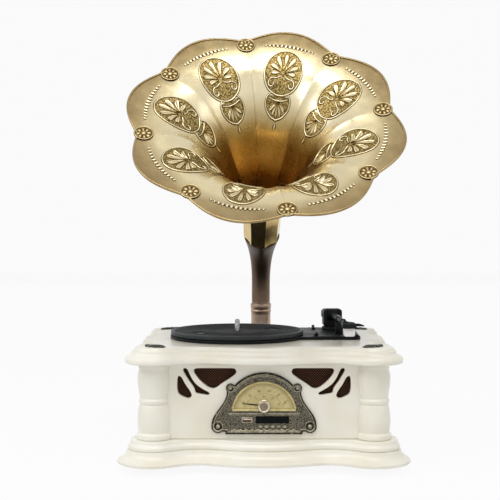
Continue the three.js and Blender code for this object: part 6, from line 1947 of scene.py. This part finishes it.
def add_camera():
    """A level camera in front of the object, a little above the deck."""
    sizes = bpy.context.scene.stage_sizes
    film, frame_pixels = 36, 500
    sight_x, sight_y = 264, 224
    camera = bpy.data.cameras.new("camera")
    camera.sensor_width = film
    camera.lens = sizes.focal_pixels * film / frame_pixels
    camera.shift_x = (frame_pixels / 2 - sight_x) / frame_pixels
    camera.shift_y = (sight_y - frame_pixels / 2) / frame_pixels
    camera.clip_end = 30
    shape = placed("camera", camera)
    shape.location = (0, -sizes.distance, sizes.eye_height)
    shape.rotation_euler = (TAU / 4, 0, 0)
    bpy.context.scene.camera = shape


class StageSizes(bpy.types.PropertyGroup):
    """Sizes of the stage"""

    distance: bpy.props.FloatProperty(
        name="Camera distance", description="Distance from the camera to the object's origin",
        default=1523.7 * MM, subtype="DISTANCE", unit="LENGTH")
    eye_height: bpy.props.FloatProperty(
        name="Camera height", description="Height of the camera over the floor",
        default=324.3 * MM, subtype="DISTANCE", unit="LENGTH")
    focal_pixels: bpy.props.FloatProperty(
        name="Focal length in pixels", default=1060.0,
        description="Focal length counted in pixels of a frame 500 wide")


class RECORDPLAYER_OT_stage(bpy.types.Operator):
    """Adds the floor, the soft lamps, the room light and the camera"""

    bl_idname = "record_player.stage"
    bl_label = "Stage"

    def execute(self, context):
        floor = floor_shape()
        floor.data.materials.append(stage_paper())
        # Size, strength in watts, place, and height that it faces
        lamp("key lamp", (1.4, 1.0), 15.5, (-1.9, -1.1, 1.7), 0.25)
        lamp("fill lamp", (1.6, 1.2), 3.8, (2.1, -1.1, 1.2), 0.25)
        lamp("top lamp", (1.8, 1.0), 26.5, (0, -1.35, 2.45), 0.2)
        world_light(0.5)
        add_camera()
        context.scene.view_settings.view_transform = "Standard"
        return {"FINISHED"}


# Panel and registration


class RECORDPLAYER_PT_panel(bpy.types.Panel):
    """Lists the pieces of the record player"""

    bl_idname = "RECORDPLAYER_PT_panel"
    bl_label = "Record Player"
    bl_space_type = "VIEW_3D"
    bl_region_type = "UI"
    bl_category = "Record Player"

    def draw(self, context):
        for name in GROUPS:
            box = self.layout.box()
            group = getattr(context.scene, name)
            for key in group.bl_rna.properties.keys():
                if key not in ("rna_type", "name"):
                    box.prop(group, key)
        for operator in OPERATORS:
            self.layout.operator(operator.bl_idname)


GROUPS = {"paint_colours": PaintColours, "horn_sizes": HornSizes, "cabinet_sizes": CabinetSizes,
          "stage_sizes": StageSizes}
OPERATORS = (RECORDPLAYER_OT_stage, RECORDPLAYER_OT_cabinet, RECORDPLAYER_OT_ornaments,
             RECORDPLAYER_OT_sound, RECORDPLAYER_OT_radio, RECORDPLAYER_OT_turntable,
             RECORDPLAYER_OT_tonearm, RECORDPLAYER_OT_horn, RECORDPLAYER_OT_rear)


def register():
    for item in (*GROUPS.values(), *OPERATORS, RECORDPLAYER_PT_panel):
        bpy.utils.register_class(item)
    for name, group in GROUPS.items():
        setattr(bpy.types.Scene, name, bpy.props.PointerProperty(type=group))


def unregister():
    for name in GROUPS:
        delattr(bpy.types.Scene, name)
    for item in reversed((*GROUPS.values(), *OPERATORS, RECORDPLAYER_PT_panel)):
        bpy.utils.unregister_class(item)


def main():
    register()
    for operator in OPERATORS:
        group, name = operator.bl_idname.split(".")
        getattr(getattr(bpy.ops, group), name)()
    bpy.context.view_layer.update()


if __name__ == "__main__":
    main()
